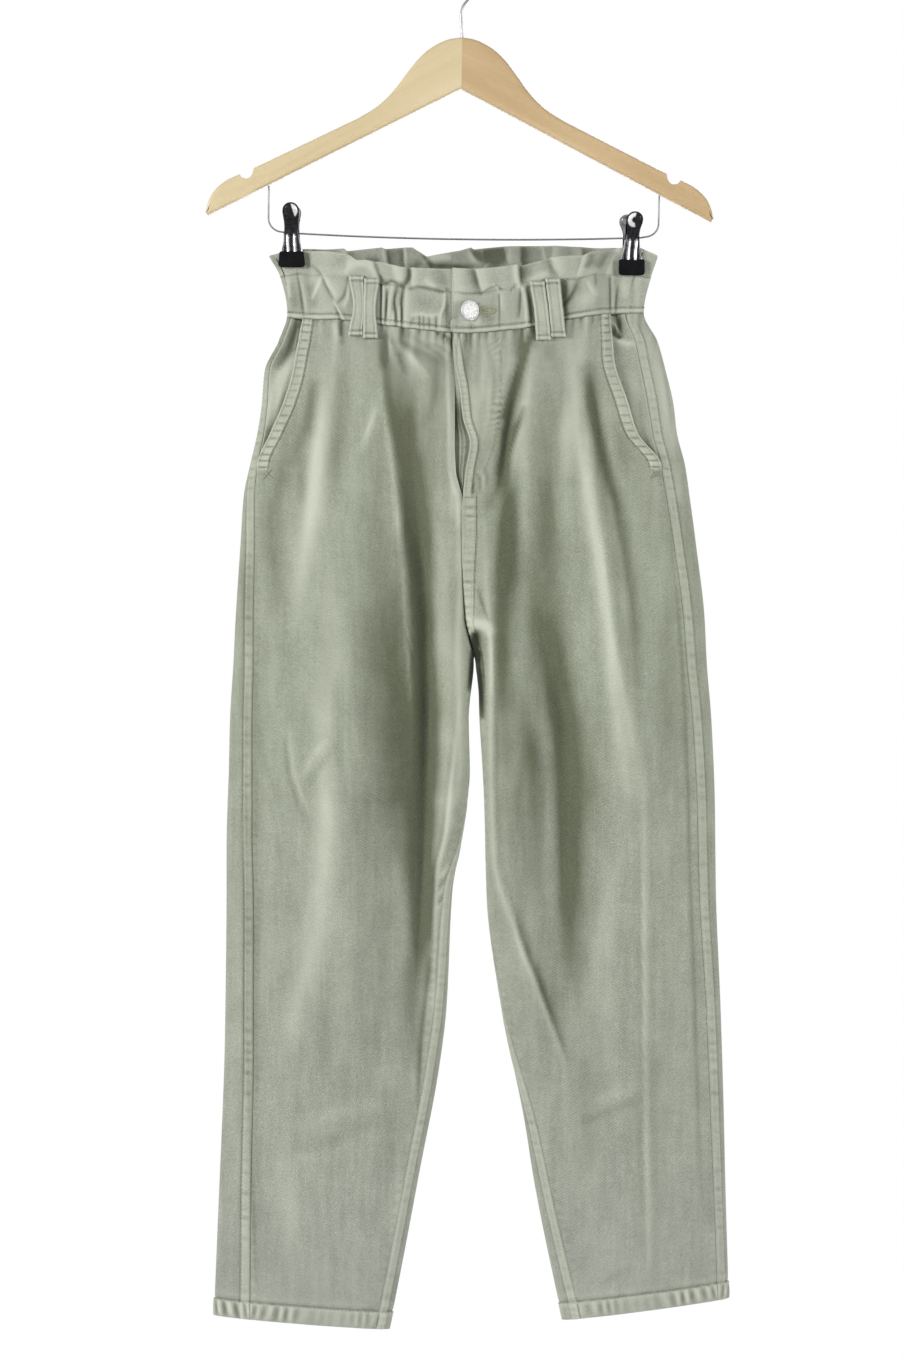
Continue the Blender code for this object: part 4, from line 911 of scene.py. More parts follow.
panels = {}
for face, half in (("front", "left"), ("back", "left"), ("front", "right"), ("back", "right")):
    drops = panelRows(panel[face + "RowStep"])
    turns = panelTurns(half, face, drops, panel[face + "Columns"])
    rows = bentRows(half, turns, np.broadcast_to(drops[:, None], turns.shape))
    base = surfaceAt(half, turns, rows)
    x = base[..., 0]
    flip = (half == "right") == (face == "front")
    fromStart = acrossFrom(base)
    fromEnd = fromStart[:, -1:] - fromStart
    extra = edgeDetail(half, face, rows, fromStart, fromEnd)
    paleBesideFly = hollow = np.zeros(rows.shape)
    if face == "front":
        hollow = np.clip(sumLines(paintedBlackShadows[half], x, rows, 0.3), 0, 1)
        if half == "right":
            extra += sewnLine(x, rows, flyStitch, 6.1, 0.34, 2.0)
            # paler beside the fly, from below the waist seam to above the fly's curve
            paleBesideFly = bell(x - 24.0, 9.0) * (1 - ease(rows, 330, 372)) * ease(rows, 244, 262)
    inHem, hemBulge, hemGroove = hemRelief(rows, fromStart)
    extra = extra + hemBulge - hemGroove
    normals = gridNormals(base, flip)
    outside = base + normals * extra[..., None]
    wall = cut["cloth"] + (panel["hemWall"] - cut["cloth"]) * inHem
    inside = base + normals * (np.minimum(extra, 0.3) - wall)[..., None]
    # painted highlight where the relief stands over its surroundings and painted shade where it sinks, more
    # painted shade in deep folds, the painted highlight and shade lines, and random tone
    relief = foldHeight(half, face == "front", x, rows) + extra + gatherHeight(x, rows)
    paintedShadingAndTone = (relief - blurred(relief, 30)) / panel["toneScale"] * 0.5
    paintedShadingAndTone += (extra - blurred(extra, 4)) / 0.55
    paintedShadingAndTone += foldHeight(half, face == "front", x, rows, 9.0) / 60.0
    paintedShadingAndTone += np.where(turns >= 0, paintedHighlightsAndShadeAt(half, "front", x, rows), paintedHighlightsAndShadeAt(half, face, x, rows))
    for amount, squash, seed, size in ((0.10, 1.0, 11, 38.0), (0.10, 0.3, 12, 13.0), (0.08, 0.3, 13, 6.0)):
        paintedShadingAndTone += amount * slowNoise(x, squash * rows, seed, size)
    # painted near-black shadow in the crotch's hollows, with no seam paling there
    paintedShadingAndTone = np.clip(paintedShadingAndTone, -1, 1) * (1 - hollow) - 2 * hollow
    seam = seamTone(half, face, rows, fromStart, fromEnd) + 0.30 * inHem + 0.42 * paleBesideFly
    hangsFrom = "waistband_back" if face == "back" else "waistband_front_" + half
    addCloth(face + "_" + half, [hangsFrom], outside, inside, flip, paintedShadingAndTone, np.clip(seam * (1 - hollow), 0, 1))
    panels[face + half] = {"points": outside, "normals": gridNormals(outside, flip), "drops": drops,
                           "fromStart": fromStart, "fromEnd": fromEnd}
print("leg panels made")


# Waistband: a drawn-up channel with a frill above it, front and back

frontTop = {
    "left": ((-170, 185.6), (-160, 185.1), (-136, 185.7), (-119, 185.9), (-106, 186.0), (-97, 186.8),
             (-91, 190.2), (-84, 188.6), (-75, 188.3), (-68, 187.6), (-53, 188.8), (-45, 187.9),
             (-27, 186.1), (-6, 185.2), (4, 185.4)),
    "right": ((-9, 184.2), (15, 185.3), (34, 185.4), (48.2, 185.6), (50, 187.6), (73, 185.9), (77, 185.2),
              (86, 185.6), (106, 188.2), (112, 186.0), (123, 184.9), (136, 183.6), (156, 181.0),
              (164, 182.4), (175, 184.4)),
}
backTop = ((-172, 184.6), (-130, 184.1), (-103, 182.7), (-100.5, 185.0), (-70, 183.0), (-67, 184.4),
           (-50, 183.8), (-43, 183.9), (-34, 190.0), (-31, 192.0), (-19, 190.0), (-1, 187.0), (8.5, 184.4),
           (11, 186.0), (37, 183.2), (51, 182.4), (74, 181.6), (82, 181.0), (106, 181.4), (121, 182.5),
           (134, 183.3), (176, 184.6))

# Pleats and creases in the band, listed one by one: strength (a ridge with a painted highlight at its
# crest, or a trough with painted shade, below zero), reach on its left and on its right, how sharp its
# crest is, and its line of x and drop. A small right reach makes a leaf that lies over its neighbour.
bandCreases = {}
bandCreases["left"] = (
    (-0.6, 2.2, 1, 0.3, (-133, 196), (-123, 205), (-116, 219), (-110, 230)),
    (0.5, 1.2, 4, 0.2, (-121, 205), (-118, 212), (-112, 220), (-108, 226)),
    (0.6, 3.5, 6, 0.1, (-102, 204), (-98, 198), (-92, 194), (-76, 188)),
    (-0.35, 6, 3, 0.1, (-103, 186), (-102, 196), (-103, 202)),
    (-0.7, 1.4, 1.2, 0.3, (-144, 202), (-141, 218), (-137, 246)),
    (0.5, 1.2, 2.5, 0.2, (-142, 207), (-139, 218), (-135, 242)),
    (0.7, 2, 1.6, 0.2, (-121, 207), (-125, 216), (-131, 229)),
    (-0.35, 4, 6, 0.1, (-133, 214), (-130, 224), (-128, 236)),
    (0.8, 1.2, 1.2, 0.3, (-112, 227), (-105, 238), (-97, 250)),
    (-0.7, 1.4, 1, 0.3, (-110, 231), (-107, 239), (-103, 248)),
    (-0.6, 1.4, 1.6, 0.3, (-98, 206), (-101, 221), (-109, 231)),
    (0.5, 2, 2.4, 0.2, (-99, 210), (-98, 223), (-103, 233)),
    (0.6, 3, 3, 0.1, (-155, 206), (-152, 216), (-150, 227)),
    (0.35, 8, 6, 0.1, (-168, 184), (-162, 198), (-157, 207)),
    (-0.35, 4, 5, 0.1, (-149, 214), (-146, 228), (-143, 240)),
    (-0.8, 1.6, 2.2, 0.3, (-77, 184), (-71, 200), (-65, 207)),
    (0.4, 4, 6, 0.1, (-84, 188), (-77, 196), (-71, 206)),
    (0.7, 4, 4, 0.1, (-56, 183), (-55, 194), (-53, 202)),
    (-1, 2.6, 2, 0.2, (-46, 180), (-45, 194), (-47, 201), (-52, 207)),
    (-0.8, 1.4, 1.6, 0.3, (-68, 208), (-60, 203), (-55, 205), (-49, 206)),
    (0.6, 1.2, 4, 0.1, (-44, 180), (-42, 195), (-42, 207)),
    (-0.4, 8, 4, 0.1, (-20, 180), (-16, 195), (-13, 207)),
    (-0.9, 1.2, 1.6, 0.3, (-47, 208), (-36, 204.5), (-26, 205), (-16, 206.5), (-11, 203)),
    (0.5, 3, 3, 0.1, (-33, 197), (-27, 200), (-22, 204)),
    (-1, 1.6, 1.4, 0.2, (-70.5, 199), (-69.5, 219), (-70, 245)),
    (0.7, 1.8, 1.6, 0.1, (-67.5, 206), (-68, 222), (-68.5, 242)),
    (-0.8, 1.6, 1.4, 0.2, (-64.5, 210), (-65, 226), (-66, 244)),
    (0.7, 2, 1.6, 0.1, (-59, 204), (-61.5, 221), (-64, 242)),
    (-0.8, 1.6, 1.6, 0.2, (-55, 206), (-58.5, 220), (-57, 230), (-56, 243)),
    (0.5, 1.4, 1.4, 0.1, (-59, 228), (-59.5, 241)),
    (0.6, 1.6, 1.4, 0.1, (-53.5, 222), (-54, 242)),
    (-0.9, 1.4, 1.4, 0.3, (-50, 205), (-52, 221), (-51.5, 244)),
    (0.7, 1.4, 3, 0.1, (-47, 205), (-48, 221), (-49, 242)),
    (-0.25, 10, 10, 0, (-31, 208), (-30, 226)),
    (0.8, 1.6, 0.9, 0.2, (-14, 204), (-14.5, 217), (-17.5, 226), (-19, 237)),
    (0.5, 1.6, 1.6, 0.2, (-44, 229), (-36, 227), (-26, 227), (-18, 225)),
    (-0.6, 1, 1, 0.3, (-36.5, 227), (-36, 240)),
    (-0.6, 1, 1, 0.3, (-33, 227), (-32.5, 240)),
    (-0.6, 1, 1, 0.3, (-28, 227), (-27.5, 240)),
    (-0.6, 1, 1, 0.3, (-22, 226), (-22, 240)),
    (-0.5, 1.2, 1, 0.3, (-41, 230), (-45, 240)),
    (-0.75, 2.6, 2.6, 0.1, (-10.5, 203), (-11, 219), (-12, 243)),
)
bandCreases["right"] = (
    (0.5, 2, 8, 0.1, (-6, 180), (-6.5, 205), (-6, 226)),
    (-0.7, 5, 1.8, 0.2, (8, 178), (13, 196), (17, 210)),
    (0.6, 1.2, 7, 0.1, (12, 178), (16, 197), (19, 209)),
    (-0.6, 1.6, 1.2, 0.3, (15, 209), (22, 205.5), (31, 202)),
    (0.6, 1.2, 1.2, 0.2, (27, 200), (31, 204), (33, 210)),
    (-0.6, 1.2, 1.2, 0.3, (29, 201), (33, 205), (36, 208)),
    (-0.5, 1.2, 1.2, 0.3, (42, 209), (47, 204.5), (51, 204)),
    (0.9, 3, 0.9, 0.2, (48, 178), (48.5, 194), (50.5, 204), (55, 210)),
    (-0.8, 1.2, 9, 0.1, (50, 181), (51, 195), (52, 206)),
    (-0.5, 5, 3, 0.1, (70, 184), (76, 187), (80, 196), (84, 203)),
    (0.6, 1.2, 9, 0.1, (76, 180), (81, 196), (87, 204)),
    (0.5, 4, 4, 0.1, (57, 203), (67, 200), (77, 199)),
    (-0.5, 0.9, 0.9, 0.3, (32.5, 206), (33, 220), (33, 240)),
    (0.4, 0.9, 3, 0.2, (34, 206), (34.5, 225)),
    (-0.7, 2, 1, 0.3, (51.5, 206), (51, 218), (50, 233)),
    (0.8, 1.6, 1.6, 0.2, (53, 206), (55.5, 219), (56.5, 231), (57, 242)),
    (-0.9, 2, 3.6, 0.1, (57, 206), (59.5, 222), (61.5, 237), (63, 246)),
    (-0.9, 1.2, 2.4, 0.2, (86.5, 206), (87, 222), (89.5, 237), (90, 248)),
    (-0.4, 5, 5, 0.1, (15, 219), (22, 226), (28, 233)),
    (0.5, 3, 3, 0.1, (-2, 227), (8, 230.5), (18, 230)),
    (-0.4, 3, 3, 0.1, (8, 228), (9, 239)),
    (0.8, 0.9, 3, 0.2, (110, 181), (104.5, 195), (100, 209)),
    (-0.5, 4, 4, 0.1, (111, 184), (112.5, 192), (108, 200)),
    (-0.45, 5, 2, 0.1, (130, 185), (123, 195), (119, 202)),
    (0.8, 1, 6, 0.2, (138, 181), (130.5, 196), (126, 208)),
    (-0.7, 2, 3, 0.2, (102, 206), (98, 217), (91, 225), (85, 228)),
    (-0.6, 6, 3, 0.1, (89, 206), (90, 217), (88, 228)),
    (0.5, 1.2, 2.5, 0.2, (109, 210), (112.5, 218), (118, 225)),
    (-0.5, 1.2, 1, 0.3, (116.5, 204), (117, 217)),
    (0.3, 8, 8, 0, (104, 220), (114, 232)),
    (-0.95, 1.2, 1, 0.3, (129, 205), (129.5, 222), (129.5, 244)),
    (0.7, 1.4, 1.4, 0.1, (132, 206), (132, 223), (131.5, 240)),
    (-0.8, 1.2, 1.2, 0.3, (136.5, 216), (134.5, 232), (134, 249)),
    (0.35, 4, 6, 0.1, (141, 208), (142, 228)),
    (-0.35, 5, 4, 0.1, (152, 208), (154, 226)),
    (0.8, 2, 0.8, 0.2, (158, 203), (158.5, 222), (158, 238), (157, 245)),
    (-1, 1, 1.2, 0.2, (159.5, 206), (160, 219), (159, 236)),
    (0.6, 2, 3, 0.1, (167, 180), (165, 193), (162, 205)),
    (0.5, 2, 2, 0.1, (162.5, 203), (162, 226)),
)
bandCreases["back"] = (
    (-0.5, 0.9, 5, 0.2, (-100, 178), (-98, 190), (-97, 204)),
    (0.5, 5, 0.9, 0.1, (-102, 178), (-101, 190), (-99, 206)),
    (-0.6, 6, 3, 0.1, (-72, 193), (-77, 196), (-84, 197)),
    (0.8, 2, 0.9, 0.1, (-69, 178), (-67, 192), (-65, 206)),
    (-0.6, 0.9, 8, 0.1, (-66, 178), (-64, 194), (-63, 206)),
    (0.8, 1.4, 1.6, 0.1, (-50, 178), (-49, 193), (-48, 208)),
    (-0.5, 4, 1, 0.1, (-52, 180), (-51, 195), (-50, 208)),
    (-0.5, 4, 3, 0.1, (-34, 197), (-39, 200), (-44, 204)),
    (-1, 2, 2.6, 0.2, (-34, 189), (-28, 198), (-20, 208)),
    (0.7, 3, 6, 0.1, (-32, 194), (-21, 195), (-8, 193)),
    (-0.9, 2.4, 2.4, 0.1, (-28, 200), (-12, 201), (0, 202), (12, 201)),
    (0.6, 3, 2, 0.1, (6, 186), (11, 194), (19, 200)),
    (-0.8, 3, 8, 0.1, (8, 184), (15, 194), (21, 200)),
    (-0.8, 10, 6, 0.1, (18, 189), (32, 187), (42, 189)),
    (-0.7, 8, 8, 0.1, (20, 195), (32, 193), (42, 193)),
    (0.5, 1, 8, 0.1, (37, 178), (40, 191), (46, 204)),
    (-0.9, 1, 7, 0.1, (53, 178), (53, 192), (57, 204)),
    (0.7, 1.4, 1.4, 0.1, (70, 178), (73, 190), (78, 204)),
    (0.6, 1.4, 6, 0.1, (82, 178), (81, 189), (80, 204)),
    (-0.5, 1, 6, 0.1, (106, 178), (108, 190), (110, 204)),
    (0.4, 6, 1, 0.1, (104, 178), (106, 190), (108, 204)),
    (-0.8, 1, 5, 0.1, (-130, 178), (-131, 210)),
    (-0.8, 1, 5, 0.1, (132, 178), (133, 210)),
)

band = {
    "frontEnds": {"left": -13.0, "right": -8.8},
    "underlap": (-7.6, 30.0),     # the left band goes on below the right one
    "columnStep": 0.85,
    "rows": 50,
    "backColumns": 200,
    "creaseHeight": 1.9,
    "grooveDepth": 1.1,       # where the draw stitch holds the frill to the channel
    "seamBulge": 0.8,         # the band's edge rolls over the waist seam
    "frillLean": 0.09,
    "ribPitch": 8.4,
    "ribHeight": 0.55,
}


def bandRelief(side):
    # creases, ribs, the draw stitch's groove under the frill, the frill's lean outwards and the
    # rolled edge at the waist seam
    def relief(x, drop, front):
        seam = cut["waistSeam"] + seamShift(x, front)
        wave = band["creaseHeight"] * sumLines(bandCreases[side], x, drop, 0.4)
        wave = -wave if side == "back" else wave
        wave += 0.35 * slowNoise(x, drop, 21 if side == "back" else 11, 19.0)
        ribs = np.cos(2 * math.pi * x / band["ribPitch"] + 1.9 * np.sin(x / 15.0)) * ease(drop, 204, 212)
        strength = 0.1
        if side == "back":
            strength = np.ones(np.shape(x))
            wave += 1.0 * np.cos(2 * math.pi * x / 17.0 + 1.3 * np.sin(x / 27.0)) * ease(drop, 196, 206)
        wave += band["ribHeight"] * ribs * strength
        wobble = 0.8 * np.sin(x / 7.0) + 0.5 * np.sin(x / 3.1)
        depth = band["grooveDepth"] * (0.55 + 0.45 * np.sin(x / 13.0 + 1.0))
        wave -= depth * bell(drop - cut["channelTop"] - wobble, 1.0)
        wave += 0.6 * bell(drop - cut["channelTop"] + 5.0, 3.6)
        wave += band["frillLean"] * np.maximum(cut["channelTop"] - drop, 0)
        wave += band["seamBulge"] * bell(drop - seam + 2.6, 1.5)
        wave -= 0.7 * bell(drop - seam + 5.2, 0.8)
        return wave - 0.7 * ease(drop, seam - 1.4, seam)
    return relief


def bandSheet(name, parts):
    # parts are (half, turns, drops, whose creases, lift off the surface), joined side by side
    layers = []
    for half, turns, drops, side, lift in parts:
        front = side != "back"
        smooth = surfaceAt(half, turns, drops, unfolded)
        normals = gridNormals(smooth, True)
        normals *= np.sign((normals[..., 1] * (-1.0 if front else 1.0)).mean())
        relief = bandRelief(side)
        base = surfaceAt(half, turns, drops, relief)
        x = smooth[..., 0]
        onFront = np.sin(turns) >= 0
        creases = sumLines(bandCreases[side], x, drops, 0.4) * np.where(front, 1.0, -1.0 * (onFront == front))
        ribbing = relief(x, drops, onFront) - band["creaseHeight"] * creases
        # painted shading: a little paler all over, painted highlight on crease crests, painted shade in their
        # troughs and across the ribbing
        layers.append((base + normals * lift, base + normals * (lift - cut["bandCloth"]),
                       0.17 + 1.6 * creases + (ribbing - blurred(ribbing, 8)) / 1.1,
                       cut["waistSeam"] + seamShift(x, onFront), drops))
    outside, inside, paintedShadingAndTone, seam, drops = [np.concatenate(layer, axis=1) for layer in zip(*layers)]
    flip = bool(outside[0, 0, 0] < outside[0, -1, 0]) == (parts[0][3] != "back")
    # the seam mask: pale dotted lines just above the waist seam and the channel's stitching, and painted
    # highlight along the frill's folded top edge and the right band's front edge
    dotted = 0.75 + 0.25 * np.sin(outside[..., 0] * 2.3)
    edge = 0.65 * dotted * bell(drops - seam + 2.5, 1.1)
    edge += 0.7 * bell(drops - drops[:1], 1.3)
    edge += 0.3 * dotted * bell(drops - cut["channelTop"] + 2.0, 1.0)
    if name == "waistband_front_right":
        edge += 0.9 * bell(outside[..., 0] - outside[:, -1:, 0] - 0.8, 1.1)
    # painted shade under the rolled edge and along the waist seam
    paintedShadingAndTone = paintedShadingAndTone - 0.55 * bell(drops - seam + 5.2, 0.7) - 0.6 * bell(drops - seam, 0.8)
    # the back band's inside gets the painted shading turned over and lifted
    inner = np.clip(0.25 - paintedShadingAndTone, -1.0, 0.8) if name == "waistband_back" else None
    addCloth(name, ["clip_left_front", "clip_right_front"], outside, inside, flip,
             np.clip(paintedShadingAndTone, -1.0, 0.8), np.clip(edge, 0, 1), inner)
    return {"points": outside, "normals": gridNormals(outside, flip), "drops": drops, "seam": seam}


def bandRows(x, top, front):
    # rows run from the uneven top edge down to the waist seam
    t = np.linspace(0, 1, band["rows"])[:, None]
    bottom = cut["waistSeam"] + seamShift(x, front) - cut["gap"] / 2
    return top * (1 - t) + bottom * t


bands = {}
levels = np.linspace(cut["frillTop"], cut["waistSeam"], band["rows"])
for half in ("left", "right"):
    begin = surfaceAt(half, wrapAngle(half, "side", levels), levels, unfolded)[:, :1]
    stop = band["frontEnds"][half]
    t = np.linspace(0, 1, int(abs(stop - begin.mean()) / band["columnStep"]))
    x = begin * (1 - t) + stop * t
    drops = bandRows(x, lineAt(x, frontTop[half]), True)
    parts = [(half, turnAt(half, x, drops), drops, half, 0.0)]
    if half == "left":
        under = np.broadcast_to(np.linspace(*band["underlap"], 30), (band["rows"], 30))
        drops = bandRows(under, lineAt(under, frontTop["right"]) + 0.6, True)
        drops = np.minimum(drops, cut["waistSeam"] - 0.5)
        parts.append(("right", turnAt("right", under, drops), drops, "right",
                      -(cut["bandCloth"] + cut["underlap"])))
    bands[half] = bandSheet("waistband_front_" + half, parts)

backParts = []
for half in ("left", "right"):
    start = stepBack(half, wrapAngle(half, "side", levels), levels, -cut["gap"] / 2)[:, None]
    turns = start + (0.03 - math.pi - start) * np.linspace(0, 1, band["backColumns"])
    x = surfaceAt(half, turns, np.broadcast_to(levels[:, None], turns.shape), unfolded)[..., 0]
    wrapped = turns >= 0
    tops = np.where(wrapped, lineAt(x, frontTop[half]), lineAt(x, backTop))
    drops = bandRows(x, tops, wrapped)
    order = slice(None) if half == "left" else slice(None, None, -1)
    backParts.append((half, turns[:, order], drops[:, order], "back", 0.0))
bands["back"] = bandSheet("waistband_back", backParts)
print("waistband made")


# Belt loops: doubled strips tacked down at both ends

loops = {
    # name, face, x at the top and bottom, how far its middle bends aside and how much it narrows
    "places": (("belt_loop_1", "front", -91.2, -91.8, 2.6, 0.24),
               ("belt_loop_2", "front", -78, -79, -1.2, 0.20),
               ("belt_loop_3", "front", 65.4, 71.2, 0.8, 0.06),
               ("belt_loop_4", "front", 78.8, 84.0, 0.2, 0.05),
               ("belt_loop_5", "back", -7, -7, 0.5, 0.08), ("belt_loop_6", "back", 7, 7, -0.6, 0.06)),
    "width": 13.2,
    "top": 204.0,
    "bottom": 256.0,
    "cloth": 1.7,
    "bow": 1.3,
    "edgeRope": 0.55,
    "foldLength": 4.6,
}


def faceAt(x, drop, face):
    # the outer surface at this x, on whichever half it lies, the band above the seam
    front = face == "front"
    middle = section("right", "inner", drop) if front else centreBack(drop)
    both = []
    for half, held in (("left", np.minimum(x, middle - 0.3)), ("right", np.maximum(x, middle + 0.3))):
        turn = turnAt(half, held, drop, front)
        legs = surfaceAt(half, turn, drop)
        top = surfaceAt(half, turn, drop, bandRelief(half if front else "back"))
        both.append(np.where((drop < cut["waistSeam"] + seamShift(x, front))[..., None], top, legs))
    return np.where((x < middle)[..., None], both[0], both[1])


def beltLoop(name, face, topX, bottomX, aside, narrow):
    # a strip whose height over the cloth below is the highest of it, smoothed, plus a bow;
    # across it a low crown with a rope at each edge, and a turned-in fold at each end
    side = sideOf[face]
    t = np.linspace(0, 1, 46)
    u = np.linspace(-1, 1, 19)
    drops = loops["top"] + (loops["bottom"] - loops["top"]) * t
    middle = topX + (bottomX - topX) * t
    look = np.linspace(-loops["width"] / 2 - 1, loops["width"] / 2 + 1, 15)
    near = faceAt(middle[:, None] + look, np.broadcast_to(drops[:, None], (46, 15)), face)
    proud = (side * near[..., 1]).max(axis=1)
    for _ in range(10):
        proud = np.maximum(proud, np.convolve(np.pad(proud, 2, mode="edge"), np.ones(5) / 5, "valid"))
    seat = proud + 0.25 + loops["bow"] * np.sin(math.pi * t)
    place = faceAt(middle, drops, face)
    grid = np.abs(u)
    crown = 0.35 * (1 - grid ** 4) + loops["edgeRope"] * bell(grid - 0.80, 0.13)
    crown = crown - 7.2 * np.clip(grid - 0.9, 0, 1) - 0.30 * bell(grid - 0.52, 0.10)
    fromTop = (t * (loops["bottom"] - loops["top"]))[:, None]
    folded = np.zeros((46, 1))
    for away in (fromTop, fromTop[::-1]):
        folded += 0.9 * bell(away - 2.3, 1.5) - 0.8 * bell(away - loops["foldLength"], 0.8)
        folded -= 0.5 * bell(away, 0.9)
    slub = 0.12 * np.sin(fromTop * 1.9 + 3.0 * u + topX)
    height = crown + folded + slub * (grid > 0.7)
    midway = np.sin(math.pi * t)[:, None] ** 2
    bendIn = 1.0 - narrow * midway + 0.012 * np.sin(fromTop * 0.6 + topX)
    x = middle[:, None] + aside * midway + u * loops["width"] / 2 * bendIn
    z = np.broadcast_to(place[:, 2:], x.shape)
    under = np.broadcast_to(side * seat[:, None], x.shape)
    outside = np.stack((x, side * (seat[:, None] + loops["cloth"] - 0.35 + height), z), axis=-1)
    inside = np.stack((x, under, z), axis=-1)
    dots = bell(grid - 0.52, 0.12) * (0.5 + 0.5 * np.sin(fromTop * 3.1 + topX))
    # painted highlight and shade from the loop's relief, paler all over and most at the middle, darker dots
    # at the stitches, and random tone
    paintedShadingAndTone = (height - blurred(height, 6)) / 1.1 + 0.2 + 0.3 * midway - 0.35 * dots
    paintedShadingAndTone = np.clip(paintedShadingAndTone + 0.12 * slowNoise(x, drops[:, None], 31, 9.0), -0.7, 0.8)
    rope = np.broadcast_to(bell(grid - 0.80, 0.16), height.shape)
    hangsFrom = "back" if face == "back" else "front_left" if topX < 0 else "front_right"
    addCloth(name, ["waistband_" + hangsFrom], outside, inside, face == "back", paintedShadingAndTone, 0.6 * rope)
    return outside


loopGrids = {place[0]: beltLoop(*place) for place in loops["places"]}
print("belt loops made")


# Turned and swept shapes

def lathe(profile, segments):
    # a profile of (radius, height) turned about its own axis, in its own axes
    profile = np.asarray(profile, float)
    angle = np.linspace(0, 2 * math.pi, segments, endpoint=False)
    ring = np.stack((np.cos(angle), np.sin(angle)), axis=-1)
    points = np.empty((len(profile), segments, 3))
    points[..., :2] = profile[:, None, :1] * ring
    points[..., 2] = profile[:, None, 1]
    faces = gridFaces(len(profile), segments, 0, True, True)
    return points.reshape(-1, 3), faces


def frameAlong(path):
    # two steady directions across a path, carried along it from point to point
    tangent = np.gradient(path, axis=0)
    tangent /= np.linalg.norm(tangent, axis=1, keepdims=True)
    first = np.empty_like(path)
    guide = np.array((0.0, 1.0, 0.0)) if abs(tangent[0, 1]) < 0.9 else np.array((1.0, 0.0, 0.0))
    for i, along in enumerate(tangent):
        guide -= along * np.dot(guide, along)
        guide /= np.linalg.norm(guide)
        first[i] = guide
    return first, np.cross(tangent, first)


def tube(path, radius, segments):
    # circles of a radius carried along a path, closed by a tiny one at each end
    path, first, second = [np.concatenate((line[:1], line, line[-1:])) for line in (path, *frameAlong(path))]
    radius = np.concatenate(([1e-4], np.full(len(path) - 2, radius), [1e-4]))
    angle = np.linspace(0, 2 * math.pi, segments, endpoint=False)[:, None]
    around = first[:, None] * np.cos(angle) + second[:, None] * np.sin(angle)
    points = path[:, None] + around * radius[:, None, None]
    return points, gridFaces(len(path), segments, 0, False, True)


def joined(shapes):
    # several (points, faces) pairs as one
    points, faces, first = [], [], 0
    for somePoints, someFaces in shapes:
        somePoints = np.reshape(somePoints, (-1, 3))
        points.append(somePoints)
        faces.append(np.asarray(someFaces) + first)
        first += len(somePoints)
    return np.concatenate(points), np.concatenate(faces)


def outwards(mesh):
    # point each closed shell's faces out
    work = bmesh.new()
    work.from_mesh(mesh)
    bmesh.ops.recalc_face_normals(work, faces=work.faces)
    work.to_mesh(mesh)
    work.free()


def solidPiece(mesh, finish, node, smoothAngle):
    # faces turned out, smooth but for edges sharper than an angle, standing for a solid node
    outwards(mesh)
    if smoothAngle:
        mesh.shade_smooth()
        mesh.set_sharp_from_angle(angle=math.radians(smoothAngle))
    piece = addPiece(mesh.name, mesh, finish)
    if node:
        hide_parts(node)


# Stitches

stitchRuns = []


def lengthAlong(points):
    return np.concatenate(([0.0], np.cumsum(np.linalg.norm(np.diff(points, axis=0), axis=1))))


def between(where, known, values):
    # each column of the values, read off at other places along the line
    return np.stack([np.interp(where, known, values[:, k]) for k in range(values.shape[1])], axis=1)


def sewAlong(points, normals, pitch=3.1, length=2.3, radius=0.36):
    # every stitch is a short capsule laid on the cloth along the line: all of them in one array
    run = lengthAlong(points)
    count = max(int(run[-1] / pitch), 2)
    where = (np.arange(count) + 0.5) * run[-1] / count
    middle, up = between(where, run, points), between(where, run, normals)
    up /= np.linalg.norm(up, axis=1, keepdims=True)
    ahead = np.gradient(middle, axis=0)
    ahead /= np.linalg.norm(ahead, axis=1, keepdims=True)
    up, ahead, across = [each[:, None, None] for each in (up, ahead, np.cross(up, ahead))]
    # way along, width and height of five rings, as shares of the length and the radius
    profile = np.array(((-0.5, 0.15, -0.5), (-0.30, 0.85, 0.1), (0.0, 1.0, 0.35), (0.30, 0.85, 0.1),
                        (0.5, 0.15, -0.5)))
    way, wide, tall = (profile * (length, radius, radius)).T[:, None, :, None, None]
    angle = np.linspace(0, 2 * math.pi, 5, endpoint=False)[:, None]
    ring = across * np.cos(angle) + up * np.sin(angle)
    place = middle[:, None, None] + ahead * way + up * tall + ring * wide
    rings, sides = place.shape[1:3]
    one = gridFaces(rings, sides, 0, False, True)
    faces = (one[None] + (np.arange(count) * rings * sides)[:, None, None]).reshape(-1, 4)
    stitchRuns.append((place.reshape(-1, 3), faces))


def onPanel(sheet, low, high, distance, fromEnd=False):
    # points and normals of a sheet at a distance from one of its side edges, between two drops
    reach = sheet["fromEnd" if fromEnd else "fromStart"]
    found = []
    for row in np.flatnonzero((sheet["drops"] > low) & (sheet["drops"] < high)):
        order = np.argsort(reach[row])
        both = np.concatenate((sheet["points"][row][order], sheet["normals"][row][order]), axis=1)
        found.append(between([distance], reach[row][order], both)[0])
    found = np.array(found)
    return found[:, :3], found[:, 3:]


def facing(face, points):
    # for points on the front or back: normals straight out
    return np.broadcast_to(np.array((0.0, sideOf[face], 0.0)), points.shape)


def rowLine(grid, drops):
    # a sheet's points and normals along one drop, or one for each column
    rows, columns = grid["points"].shape[:2]
    levels = np.broadcast_to(grid["drops"].reshape(rows, -1), (rows, columns))
    row = np.argmin(np.abs(levels - drops), axis=0)
    return grid["points"][row, np.arange(columns)], grid["normals"][row, np.arange(columns)]


# Pocket facings and the fly's under-layer: a layer of cloth below the fronts

